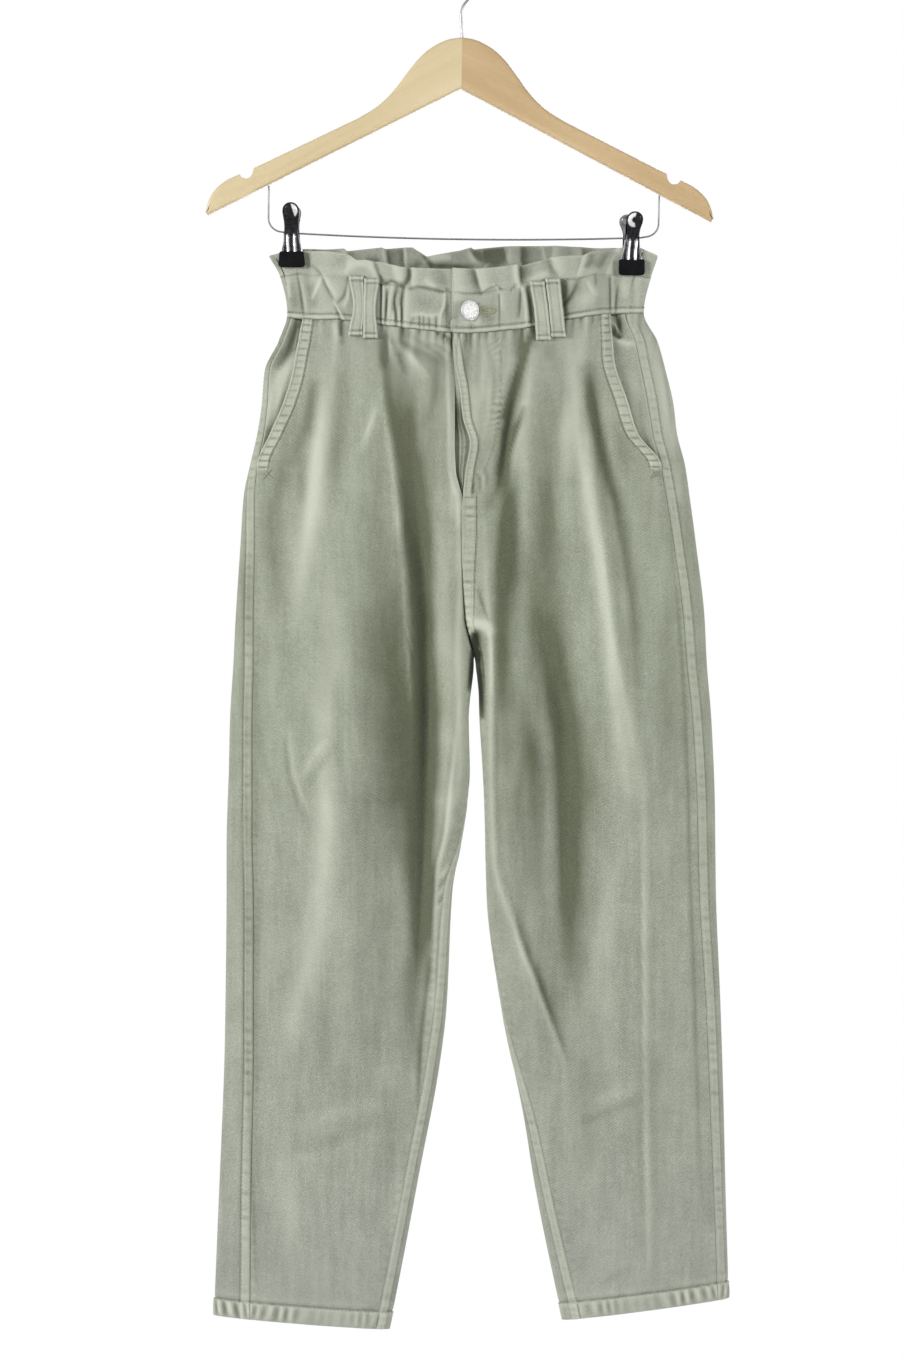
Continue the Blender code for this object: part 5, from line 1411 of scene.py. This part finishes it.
facingFolds = {}
facingFolds["left"] = (
    (-1, 5, 5, 0.1, (-138, 240), (-144, 255), (-147, 264), (-153, 276), (-162, 290)),
    (-0.7, 2, 2.5, 0.1, (-137, 240), (-140, 258), (-142, 274)),
    (0.5, 1.5, 1.5, 0, (-142, 252), (-144, 262), (-147, 272)),
    (0.9, 6, 5, 0, (-143, 274), (-152, 289), (-159, 304), (-162, 318), (-166, 342)),
)
facingFolds["right"] = (
    (-1, 2.5, 3, 0.1, (133, 238), (137, 249), (139, 262)),
    (-1, 3, 3, 0.1, (127, 250), (133, 258), (139, 263)),
    (0.6, 1.5, 1.5, 0, (129, 246), (136, 254), (140, 261)),
    (0.8, 2.5, 2.5, 0.1, (127, 260), (138, 265), (146, 267.5), (154, 266)),
    (0.35, 6, 6, 0, (146, 290), (150, 325), (160, 352)),
    (0.4, 4, 4, 0, (167, 250), (170, 268), (173, 290)),
)
for half in ("left", "right"):
    drops = np.linspace(cut["waistSeam"] + 0.2, 378.0, 90)
    side = stepBack(half, wrapAngle(half, "side", drops), drops, 0.3)
    edge = stepBack(half, np.maximum(wrapAngle(half, "pocket", drops), side), drops, 12.0)
    t = np.linspace(0, 1, 46)
    turns = side[:, None] * (1 - t) + edge[:, None] * t
    rows = bentRows(half, turns, np.broadcast_to(drops[:, None], turns.shape))
    flip = half == "right"
    base = surfaceAt(half, turns, rows)
    normals = gridNormals(base, flip)
    folded = sumLines(facingFolds[half], base[..., 0], rows, 0.4)
    fromSide = acrossFrom(base)
    extra = np.minimum(2.2 * folded, 0.8 * np.clip(fromSide / 3.0, 0, 1)) * np.clip(fromSide / 4.0, 0.2, 1)
    under = -(cut["cloth"] + cut["underlap"]) * ease(fromSide, 1.0, 9.0)
    outside = base + normals * (extra + under)[..., None]
    # painted shadow just inside the pocket's mouth, under its edge, wider on the left; the facing's folds get
    # painted highlight and shade
    mouth = surfaceAt(half, wrapAngle(half, "pocket", drops), drops, unfolded)[:, :1]
    inMouth = np.abs(base[..., 0]) - np.abs(mouth)
    shaded = bell(inMouth, 2.5 + 3.5 * ease(rows, 300, 330)) if half == "left" else 0.6 * bell(inMouth, 2.2)
    shaded *= ease(rows, 296, 318)
    paintedShadingAndTone = np.clip(1.2 * folded - 1.1 * shaded, -1.0, 0.8)
    ridge = 0.9 * bell(fromSide - 0.6, 0.8)
    addCloth("pocket_facing_" + half, ["waistband_front_" + half], outside,
             outside - normals * cut["cloth"], flip, paintedShadingAndTone, ridge)

flyEnd = 412.0
acrossFly = [onPanel(panels["frontleft"], 0, flyEnd, away, True)[0] for away in (16.0, 10.0, 5.0, 0.6)]
acrossFly += [onPanel(panels["frontright"], 0, flyEnd, away, True)[0] for away in (0.6, 4.0, 8.0, 12.0)]
fine = np.concatenate((np.linspace(0, 3, 10), np.linspace(3, 4, 17)[1:], np.linspace(4, 7, 11)[1:]))
outside = np.stack([between(fine, np.arange(8), row) for row in np.stack(acrossFly, axis=1)])
flyDrops = panels["frontleft"]["drops"]
flyDrops = flyDrops[flyDrops < flyEnd][:, None] * np.ones((1, len(fine)))
# the two rows of the zip's teeth, within the opening
zipRidge = 1.0 * bell(fine - 3.40, 0.09) + 0.8 * bell(fine - 3.68, 0.08)
zipRidge = zipRidge * ease(flyDrops, 290, 325)
outside[..., 1] += 0.9 + 2.8 * ease(flyDrops, 280, 318) - 1.2 * ease(flyDrops, 385, 408) - zipRidge
inside = outside + np.array((0.0, cut["cloth"], 0.0))
# painted shade inside the fly's opening, weaker lower down, and a painted highlight on the zip's teeth
paintedShadingAndTone = 0.45 * zipRidge - 0.9 * ease(flyDrops, 292, 318) * (1 - 0.6 * ease(flyDrops, 322, 346))
addCloth("fly_shield", ["waistband_front_left"], outside, inside, False, np.clip(paintedShadingAndTone, -1, 1))
print("facings and fly shield made")


# Button, buttonhole and stitches

button = {
    "x": 6.4,
    "drop": 222.0,
    "turned": 0.52,          # radians about the upright
    "stand": 2.0,
}


def makeButtonMetal():
    # pale matt alloy: fine pits and dull freckles
    made, tree, shader = newMaterial("buttonMetal", (0.70, 0.70, 0.69), 0.42, 0.25)
    place = objectPlace(tree)
    pits = noise(tree, place, 1500.0, 2.0, 0.7)
    freckles = noise(tree, place, 520.0, 2.0, 0.6)
    body = ramp(tree, pits, ((0.35, grey(0.36)), (0.58, (0.62, 0.62, 0.61))))
    spots = ramp(tree, freckles, ((0.36, grey(0.66)), (0.50, grey(1.0))))
    tree.links.new(blend(tree, "MULTIPLY", 1.0, body, spots), shader.inputs["Base Color"])
    addBump(tree, shader, pits, 0.5, 0.00015)
    return made


seat = faceAt(np.array([button["x"]]), np.array([button["drop"]]), "front")[0]
# radius and height of the button's outline, from the middle of its face round to its shank
profile = ((0.05, 2.7), (2.0, 2.68), (4.6, 2.55), (6.4, 2.45), (7.2, 2.5), (7.8, 2.75), (8.5, 2.7),
           (8.95, 2.35), (9.1, 1.9), (8.9, 1.5), (8.2, 1.2), (3.4, 0.9), (2.6, 0.6), (2.6, -1.6),
           (0.05, -1.6))
points, faces = lathe(profile, 48)
points = points @ np.array(((math.cos(button["turned"]), math.sin(button["turned"]), 0), (0, 0, 1),
                            (math.sin(button["turned"]), -math.cos(button["turned"]), 0)))
disc = points + (button["x"], seat[1] - button["stand"], seat[2])
solidPiece(newMesh("jeans_button", disc, faces), makeButtonMetal(), "waist_button", 35)

threadFinish = makeTwill("threadSage", 1.18)
ochreFinish = newMaterial("threadOchre", (0.36, 0.36, 0.20), 0.8)[0]


def drape(line, step=1.2):
    # points on the front under a line of (x, drop)
    line = smoothLine(line, 120)
    run = lengthAlong(line)
    x, drop = between(np.linspace(0, run[-1], max(int(run[-1] / step), 4)), run, line).T
    return faceAt(x, drop, "front")


def onSheet(sheet, line):
    # the nearest points of a panel to a line of (x, drop)
    line = smoothLine(line, 90)
    points = sheet["points"].reshape(-1, 3)
    drops = np.repeat(sheet["drops"], sheet["points"].shape[1])
    pick = ((points[None, :, 0] - line[:, :1]) ** 2 + (drops[None] - line[:, 1:]) ** 2).argmin(axis=1)
    pick = pick[np.concatenate(([True], np.diff(pick) != 0))]
    return points[pick], sheet["normals"].reshape(-1, 3)[pick]


def eased(points, times=2):
    for _ in range(times):
        points[1:-1] = (points[:-2] + 2 * points[1:-1] + points[2:]) / 4
    return points


for half in ("left", "right"):
    for away in (2.0, 9.6):
        sewAlong(*onPanel(panels["front" + half], 0, 371, away))
    for face in ("front", "back"):
        points, normals = rowLine(panels[face + half], cut["hem"] - cut["hemHeight"] + 1.4)
        sewAlong(points[1:-1], normals[1:-1], 3.4)
    sewAlong(*onPanel(panels["back" + half], 250, 1100, 7.6), 3.6)
points, normals = onSheet(panels["frontright"], flyStitch)
sewAlong(eased(points), normals)
for low, high, away in ((0, 392, 1.8), (0, 392, 6.2), (392, 508, 1.8), (392, 508, 9.6)):
    sewAlong(*onPanel(panels["frontright"], low, high, away, True), 2.9, 2.1)
for sheet in bands.values():
    for level in (cut["channelTop"], sheet["seam"][-1] - 5.2):
        points, normals = rowLine(sheet, level)
        sewAlong(eased(points[2:-2].copy(), 4), normals[2:-2])
for name, face, *_ in loops["places"]:
    grid = loopGrids[name]
    for line in (grid[2:-2, 4], grid[2:-2, 14]):
        sewAlong(line, facing(face, line), 2.7, 2.0, 0.3)
    for line in (grid[3, 2:-2], grid[-4, 2:-2]):
        sewAlong(line, facing(face, line), 1.3, 1.5, 0.34)
sewAlong(bands["right"]["points"][:, -3], bands["right"]["normals"][:, -3])

# a cross at each pocket's lower corner and a bar at the fly's end
tacks = []
for side in (-1.0, 1.0):
    corner, low = side * 174.0, 379.0
    tacks += [((corner - side * 0.5, low - 3), (corner - side * 9.5, low + 6)),
              ((corner - side * 9.0, low - 2), (corner - side * 1.0, low + 7))]
for line in tacks + [((2.0, 389), (9.5, 389)), ((2.0, 391.5), (9.5, 391.5))]:
    points = drape(line)
    sewAlong(points + facing("front", points) * 0.5, facing("front", points), 1.0, 1.7, 0.42)
solidPiece(newMesh("jeans_stitches", *joined(stitchRuns)), threadFinish, None, 0)
stitchRuns.clear()

buttonhole = {
    "x": 22.6,
    "drop": 222.4,
    "length": 6.4,
    "height": 2.1,
    "eye": 0.7,              # how much taller it is at the end beside the button
    "slope": 0.10,
}
turn = np.radians(np.linspace(0, 360, 61))
rimX = buttonhole["x"] + buttonhole["length"] * np.cos(turn)
rimHeight = buttonhole["height"] + buttonhole["eye"] * (np.cos(turn) > 0.55)
rimDrop = buttonhole["drop"] + rimHeight * np.sin(turn) + buttonhole["slope"] * (rimX - buttonhole["x"])
points = faceAt(rimX, rimDrop, "front")
sewAlong(points + facing("front", points) * 0.3, facing("front", points), 0.8, 1.7, 0.6)
solidPiece(newMesh("jeans_buttonhole", *joined(stitchRuns)), ochreFinish, None, 0)
print("button and stitches made")


# Hanger: two beech arms, hook and bar wires, two spring clips

hanger = {
    "tilt": 0.8,                  # degrees, the right end lower
    "shift": 1.6,
    "archTop": ((0.02, 0.0), (10, 1.5), (20, 5.5), (30, 12.0), (40, 22.0), (48, 32.5), (56, 43.5),
                (64, 53.0), (75, 62.7), (90, 72.0)),
    "slopeTop": ((90, 72.0), (180, 116.6)),
    "notch": ((180, 116.6), (180.7, 120.4), (182.7, 124.2), (186, 125.8), (189.4, 125.2), (191.2, 123.6),
              (192, 122.0)),
    "tip": ((192, 122.0), (201, 126.0), (209, 131.5), (215.5, 138.5), (219.5, 147.0), (221.5, 155.6)),
    "underMiddle": 44.5,
    "underEnd": 219.5,
    "underSlope": math.tan(math.radians(27.3)),
    "thick": 12.0,
    "round": 2.4,
    "hookWire": 1.25,
    "hookInner": 19.0,
    "barEnds": (-165.0, 175.5),
    "barDrop": 171.3,
    "barSag": 4.3,
    "barRadius": 0.8,
    "barCorner": 12.0,
}


def tilted(points):
    # the hanger turned about the hook's inner top
    points = np.asarray(points, float)
    lean = math.radians(hanger["tilt"])
    x, height = points[..., 0], points[..., 2] + hookRise
    return np.stack((x * math.cos(lean) - height * math.sin(lean), points[..., 1],
                     x * math.sin(lean) + height * math.cos(lean) - hookRise), axis=-1)


def roundedRing(half, steps=5):
    # once round a rectangle with corners of radius 1: way from top to underside, depth, and how far
    # the corner draws in from the top and from the underside
    angle = np.linspace(0, math.pi / 2, steps)
    front = [(0.0, 1 - half - math.sin(a), 1 - math.cos(a), 0.0) for a in angle]
    front += [(t, -half, 1.0, 1.0) for t in np.linspace(0, 1, 9)[1:-1]]
    front += [(1.0, 1 - half - math.cos(a), 0.0, 1 - math.sin(a)) for a in angle]
    return np.array(front + [(t, -y, fromTop, fromUnder) for t, y, fromTop, fromUnder in front[::-1]])


def woodArm(side):
    # rounded rectangles strung between the top outline and the underside
    top = np.concatenate((smoothLine(hanger["archTop"], 60), smoothLine(hanger["slopeTop"], 30)[1:],
                          smoothLine(hanger["notch"], 18)[1:], smoothLine(hanger["tip"], 26)[1:]))
    underX = np.minimum(top[:, 0], hanger["underEnd"])
    under = np.column_stack((underX, hanger["underMiddle"] + hanger["underSlope"] * underX))
    slope = np.gradient(top, axis=0)
    slope /= np.linalg.norm(slope, axis=1, keepdims=True)
    inward = np.column_stack((-slope[:, 1], slope[:, 0]))
    inward[0] = (0.0, 1.0)
    up = np.array((hanger["underSlope"], -1.0))
    up /= np.linalg.norm(up)
    radius = np.minimum(hanger["round"], 0.42 * np.linalg.norm(top - under, axis=1))
    radius *= 1 - 0.85 * flatBell(top[:, 0] - 186, 9.0)      # sharper at the notch
    half = hanger["thick"] / 2
    way, depth, fromTop, fromUnder = roundedRing(half).T
    y = np.sign(depth) * (half - radius[:, None] * (half - np.abs(depth)))
    above = top[:, None] + inward[:, None] * (radius[:, None] * fromTop)[..., None]
    below = under[:, None] + up * (radius[:, None] * fromUnder)[..., None]
    place = above + (below - above) * way[:, None]
    place[0, :, 0] = top[0, 0]                          # the mitre stands upright
    place[..., 0] = np.maximum(place[..., 0], top[0, 0])
    points = np.stack((side * place[..., 0] + hanger["shift"], y, place[..., 1]), axis=-1)
    rows, columns = y.shape
    faces = gridFaces(rows, columns, 0, side < 0, True).tolist()
    ends = [list(range(columns)), list(range((rows - 1) * columns, rows * columns))]
    return tilted(points).reshape(-1, 3), faces + ends


beech = {
    "left": ((0.61, 0.49, 0.285), (0.70, 0.585, 0.37)),
    "right": ((0.49, 0.335, 0.17), (0.63, 0.47, 0.27)),
    "slope": 27.3,                # degrees: the way the arm and its grain run
    "grainLength": 11.0,
    "grainWidth": 190.0,
}


def makeBeech(half):
    # grain: stretched noise along the arm, with fine pores and slow darker bands
    darker, paler = beech[half]
    made, tree, shader = newMaterial("beech_" + half, paler, 0.42, more=(
        ("Coat Weight", 0.12), ("Coat Roughness", 0.35)))
    lean = math.radians(-sideOf[half] * beech["slope"])
    turned = mapped(tree, objectPlace(tree), {"Rotation": (0.0, lean, 0.0)})
    stretched = mapped(tree, turned, {"Scale": (beech["grainLength"], 60.0, beech["grainWidth"])})
    grain = noise(tree, stretched, 1.0, 5.0, 0.62)
    slow = noise(tree, mapped(tree, turned, {"Scale": (4.0, 20.0, 38.0)}), 1.0, 3.0, 0.5)
    pores = noise(tree, mapped(tree, turned, {"Scale": (90.0, 300.0, 1100.0)}), 1.0, 1.0, 0.5)
    body = ramp(tree, slow, ((0.30, darker), (0.68, paler)))
    lines = ramp(tree, grain, ((0.28, (0.93, 0.90, 0.87)), (0.46, grey(1.0)), (0.75, (1.03, 1.03, 1.02))))
    flecks = ramp(tree, pores, ((0.27, (0.88, 0.84, 0.78)), (0.36, grey(1.0))))
    body = blend(tree, "MULTIPLY", 1.0, body, lines)
    body = blend(tree, "MULTIPLY", 0.7, body, flecks)
    tree.links.new(body, shader.inputs["Base Color"])
    addBump(tree, shader, grain, 0.06, 0.0002)
    return made


def makeWire(name, pale, dark, roughness):
    # drawn wire: bright metal with fine dull marks along it
    made, tree, shader = newMaterial(name, pale, roughness, 1.0)
    place = objectPlace(tree)
    marks = ramp(tree, noise(tree, place, 900.0, 2.0, 0.6), ((0.3, dark), (0.6, pale)))
    dull = ramp(tree, noise(tree, place, 60.0, 2.0, 0.6),
                ((0.3, grey(roughness * 0.8)), (0.7, grey(roughness * 1.3))))
    tree.links.new(marks, shader.inputs["Base Color"])
    tree.links.new(dull, shader.inputs["Roughness"])
    return made


wireFinish = makeWire("steelWire", (0.34, 0.34, 0.35), (0.20, 0.20, 0.21), 0.3)
for half in ("left", "right"):
    points, faces = woodArm(sideOf[half])
    mesh = newMesh("hanger_arm_" + half, points, faces)
    solidPiece(mesh, makeBeech(half), "hanger_wood_" + half, 50)


def upright(x, drop):
    return np.column_stack((x, 0 * x, drop))


radius = hanger["hookInner"] + 1.7
turn = np.radians(np.linspace(-38.0, 196.0, 90))
bow = upright(radius * np.cos(turn), hanger["hookInner"] - hookRise - radius * np.sin(turn))
stem = ((1.6, -0.3), (1.0, -12.0), (0.6, -20.0), (1.8, -26.5), (5.2, -32.0), (10.2, -37.5), (15.0, -43.4))
stem = upright(*smoothLine(stem, 46)[:-1].T)
points, faces = tube(np.concatenate((stem, bow)), hanger["hookWire"], 16)
solidPiece(newMesh("hanger_hook", tilted(points), faces), wireFinish, "hook", 60)


def barDrop(x):
    along = (x - hanger["barEnds"][0]) / (hanger["barEnds"][1] - hanger["barEnds"][0])
    return hanger["barDrop"] + hanger["barSag"] * 4 * along * (1 - along)


def barSide(x, side):
    # down from the wood, then round a corner onto the bar
    top = hanger["underMiddle"] + hanger["underSlope"] * abs(x - hanger["shift"]) + 0.9
    corner = hanger["barCorner"]
    down = np.linspace(top, hanger["barDrop"] - corner, 12, endpoint=False)
    turn = np.radians(np.linspace(0, 86, 14))
    bend = upright(x + side * corner * (1 - np.cos(turn)), hanger["barDrop"] - corner + corner * np.sin(turn))
    return np.concatenate((upright(np.full(12, x), down), bend))


leftPart = barSide(hanger["barEnds"][0], 1.0)
rightPart = barSide(hanger["barEnds"][1], -1.0)[::-1]
run = np.linspace(leftPart[-1, 0] + 4, rightPart[0, 0] - 4, 60)
path = np.concatenate((leftPart, upright(run, barDrop(run)), rightPart))
points, faces = tube(path, hanger["barRadius"], 12)
barFinish = makeWire("barWire", (0.26, 0.26, 0.27), (0.17, 0.17, 0.18), 0.45)
solidPiece(newMesh("hanger_bar", tilted(points), faces), barFinish, "clip_bar", 60)

clips = {
    "jawTaper": {"left": 0.065, "right": 0.01},
    "left": {"x": -148.0, "jawTop": 186.5, "headTop": 144.6, "turned": 0.05, "shine": 1.0},
    "right": {"x": 148.0, "jawTop": 193.5, "headTop": 152.6, "turned": -0.24, "shine": -1.0},
    "headRadius": 7.3,
    "metal": 1.0,
    "jawWidth": 22.4,
    "jawHeight": 14.0,
    "jawThick": 3.6,
    "jawInside": 2.2,
    "rib": 1.2,
    "springRadius": 3.5,
    "springWire": 0.65,
}


def makeClipMetal():
    # black nickel in the hollows, with painted reflections near-white where the shine mask says
    made, tree, shader = newMaterial("clipMetal", (0.5, 0.5, 0.5), 0.2, 1.0)
    marks = noise(tree, objectPlace(tree), 500.0, 3.0, 0.6)
    hollow = ramp(tree, marks, ((0.3, (0.012, 0.012, 0.014)), (0.7, (0.045, 0.044, 0.048))))
    bright = ramp(tree, marks, ((0.3, (0.80, 0.80, 0.81)), (0.7, (0.95, 0.95, 0.95))))
    nickelWithPaintedReflection = blend(tree, "MIX", mask(tree, "shine"), hollow, bright)
    tree.links.new(nickelWithPaintedReflection, shader.inputs["Base Color"])
    tree.links.new(ramp(tree, marks, ((0.3, grey(0.16)), (0.7, grey(0.27)))), shader.inputs["Roughness"])
    return made


def makeRubber():
    # moulded black rubber: fine pebble and slight dusting
    made, tree, shader = newMaterial("jawRubber", (0.007, 0.007, 0.008), 0.8, more=(
        ("Specular IOR Level", 0.06),))
    place = objectPlace(tree)
    dust = ramp(tree, noise(tree, place, 90.0, 3.0, 0.6),
                ((0.3, (0.004, 0.004, 0.005)), (0.75, (0.012, 0.012, 0.013))))
    tree.links.new(dust, shader.inputs["Base Color"])
    addBump(tree, shader, noise(tree, place, 1400.0, 2.0, 0.5), 0.4, 0.0002)
    return made


clipFinish = makeClipMetal()
rubberFinish = makeRubber()


def clipLeg(half, face):
    # across by down a bent strip: a domed round head, a neck, then two ribs and turned-back edges
    clip = clips[half]
    side = sideOf[face]
    head, jaw = clip["headTop"], clip["jawTop"]
    radius = clips["headRadius"]
    bar = tilted((clip["x"], 0.0, barDrop(clip["x"] + 3.6)))[2]
    drops = np.concatenate((head + radius * (1 - np.cos(np.linspace(0.12, math.pi / 2, 16))),
                            np.linspace(head + radius + 0.8, jaw + 0.5, 44)))
    t = np.clip((drops - head - radius) / (jaw - head - radius), 0, 1)
    above = np.sqrt(np.clip(radius ** 2 - (head + radius - drops) ** 2, 0.05, None))
    below = radius - 1.1 * ease(t, 0.0, 0.35) + 0.9 * ease(t, 0.35, 0.75) + 1.9 * ease(t, 0.72, 1.0)
    wide = np.where(drops < head + radius, above, below)
    outline = ((head - 1, 12.4), (head + 3, 12.2), (head + 9, 10.4), (bar - 7.0, 7.4), (bar - 2.0, 5.3),
               (bar + 3.0, 5.1), (jaw - 6.0, 5.3), (jaw + 1, 4.9))
    reach = readRows(outline, 1, drops)
    grid = np.broadcast_to(np.linspace(-1, 1, 33), (len(drops), 33))
    down = np.broadcast_to(drops[:, None], grid.shape)
    across = grid * wide[:, None]
    hx = across / radius
    hz = (down - head - radius) / radius
    fromMiddle = np.hypot(hx, hz)
    dome = np.clip(1 - (fromMiddle / 0.78) ** 2, 0, None) ** 0.8
    low = ease(down, bar + 0.5, bar + 3.5)
    ribs = flatBell(np.abs(across) - 3.1, 1.15) * low
    edge = ease(np.abs(grid), 0.80, 1.0)
    height = 1.3 * dome + clips["rib"] * ribs - 1.7 * edge * ease(down, head + 8, head + 14)
    # painted reflections: the head gleams on one side, each rib has one bright flank, and the turned-back
    # edges shine
    if half == "left":
        gleam = ease(hx - 0.30 * (hz + 1) + 0.05, -0.04, 0.04) * (1 - ease(fromMiddle, 0.74, 0.84))
    else:
        gleam = ease(-hx - 0.05 + 0.35 * hz * hz, -0.05, 0.05) * (1 - ease(fromMiddle, 0.76, 0.86))
        gleam *= ease(fromMiddle, 0.30, 0.42)
    gleam *= hz < 0.75
    lit = across * clip["shine"]
    ribShine = 0.95 * (flatBell(lit - 2.6, 0.75) + flatBell(lit + 3.4, 0.75))
    paintedReflection = np.clip(gleam + (ribShine + 0.75 * ease(np.abs(grid), 0.90, 0.97)) * low, 0, 1)
    y = side * (reach[:, None] + height)
    x = clip["x"] + across + clip["turned"] * y * (1 - ease(down, bar, jaw))
    outside = np.stack((x, y, down), axis=-1)
    inside = np.stack((x, y - side * clips["metal"], down), axis=-1)
    mesh = sheetMesh("clip_" + half + "_leg_" + face, outside, inside, face == "back")
    # the inner faces carry a quarter of the painted reflection
    setMask(mesh, "shine", np.concatenate((paintedReflection.ravel(), np.full(paintedReflection.size, 0.25))))
    solidPiece(mesh, clipFinish, "clip_" + half + "_" + face, 50)
    return bar


def clipJaw(half, face):
    # rings of a rounded outline, drawn in at both faces and closed by shrinking rings
    clip = clips[half]
    side = sideOf[face]
    angle = np.linspace(0, 2 * math.pi, 64, endpoint=False)
    c, s = np.cos(angle), np.sin(angle)
    power = np.where(s > 0, 7.0, 13.0)
    size = (np.abs(c) ** power + np.abs(s) ** power) ** (-1 / power)
    outX, outZ = c * size, s * size
    layers = ((0.0, 0.0), (0.0, 0.45), (0.0, 0.90), (0.05, 0.97), (0.35, 1.0), (0.8, 1.0), (0.96, 0.975),
              (1.0, 0.92), (0.985, 0.80), (1.01, 0.45), (1.01, 0.0))
    rings = []
    for out, shrink in layers:
        y = side * (clips["jawInside"] + clips["jawThick"] * out)
        reachX, reachZ = [whole / 2 - (1 - shrink) * 5.0 if shrink > 0.8 else whole / 2 * shrink
                          for whole in (clips["jawWidth"], clips["jawHeight"])]
        taper = 1.0 + clips["jawTaper"][half] * outZ
        x = clip["x"] + outX * reachX * taper + clip["turned"] * y * 0.3
        down = clip["jawTop"] + clips["jawHeight"] / 2 + outZ * reachZ
        rings.append(np.stack((x, np.full(64, y), down), axis=1))
    points = np.stack(rings)
    faces = gridFaces(len(layers), 64, 0, False, True)
    name = "clip_" + half + "_jaw_" + face
    mesh = newMesh(name.replace("jaw", "rubber"), points, faces)
    solidPiece(mesh, rubberFinish, name, 40)


for half in ("left", "right"):
    for face in ("front", "back"):
        bar = clipLeg(half, face)
        clipJaw(half, face)
    turns = np.linspace(0, 7 * 2 * math.pi, 7 * 14)
    coil = np.stack((clips[half]["x"] - 5.2 + 10.4 * turns / turns[-1], clips["springRadius"] * np.sin(turns),
                     bar + clips["springRadius"] * np.cos(turns)), axis=1)
    points, faces = tube(coil, clips["springWire"], 8)
    coilMesh = newMesh("clip_" + half + "_coil", points, faces)
    solidPiece(coilMesh, wireFinish, "clip_" + half + "_spring", 60)
print("hanger made")


# Camera, lights and floor

studio = {
    # name, place in metres, size, power
    "lights": (("key", (-2.7, -1.75, 0.25), 1.1, 84.0), ("fill", (2.8, -1.6, -0.1), 1.4, 52.0),
               ("rear", (0.6, 2.6, 0.3), 2.4, 60.0)),
    "aim": (0.0, 0.0, -0.62),
    "worldLight": 0.24,
    "floorHeight": -1.42,
    "cameraPlace": (-0.0083, -3.5, -0.6434),
    "viewHeight": 1.1831,         # metres shown from top to bottom at the jeans
}


def addLight(name, place, size, power):
    lamp = bpy.data.lights.new(name, "AREA")
    lamp.shape = "DISK"
    lamp.size = size
    lamp.energy = power
    made = bpy.data.objects.new(name, lamp)
    aim = np.array(studio["aim"]) - np.array(place)
    aim /= np.linalg.norm(aim)
    made.location = place
    made.rotation_euler = (math.acos(-aim[2]), 0.0, math.atan2(aim[0], -aim[1]) + math.pi)
    bpy.context.scene.collection.objects.link(made)


for light in studio["lights"]:
    addLight(*light)

eye = bpy.data.cameras.new("camera")
eye.lens = -36.0 * studio["cameraPlace"][1] / studio["viewHeight"]
camera = bpy.data.objects.new("camera", eye)
camera.location = studio["cameraPlace"]
camera.rotation_euler = (math.pi / 2, 0.0, 0.0)
bpy.context.scene.collection.objects.link(camera)
bpy.context.scene.camera = camera
bpy.context.scene.view_settings.view_transform = "Standard"

world = bpy.data.worlds.new("studio")
world.use_nodes = True
bpy.context.scene.world = world
tree = world.node_tree
seenBy = addNode(tree, "LightPath", {}).outputs
seen = arithmetic(tree, "MAXIMUM", seenBy["Is Camera Ray"], seenBy["Is Glossy Ray"])
seen = arithmetic(tree, "MAXIMUM", seen, seenBy["Is Transmission Ray"])
strength = addNode(tree, "Mix", {0: seen, 2: studio["worldLight"], 3: 1.0})
background = tree.nodes["Background"]
background.inputs["Color"].default_value = (1, 1, 1, 1)
tree.links.new(strength.outputs[0], background.inputs["Strength"])

floorMesh = bpy.data.meshes.new("floor")
corners = [(x, y, studio["floorHeight"]) for x, y in ((-2.2, -3.0), (2.2, -3.0), (2.2, 1.0), (-2.2, 1.0))]
floorMesh.from_pydata(corners, [], [(0, 1, 2, 3)])
floor = bpy.data.objects.new("floor", floorMesh)
floorMesh.materials.append(newMaterial("palePaper", (0.86, 0.86, 0.85), 0.8)[0])
bpy.context.scene.collection.objects.link(floor)
print("studio made")
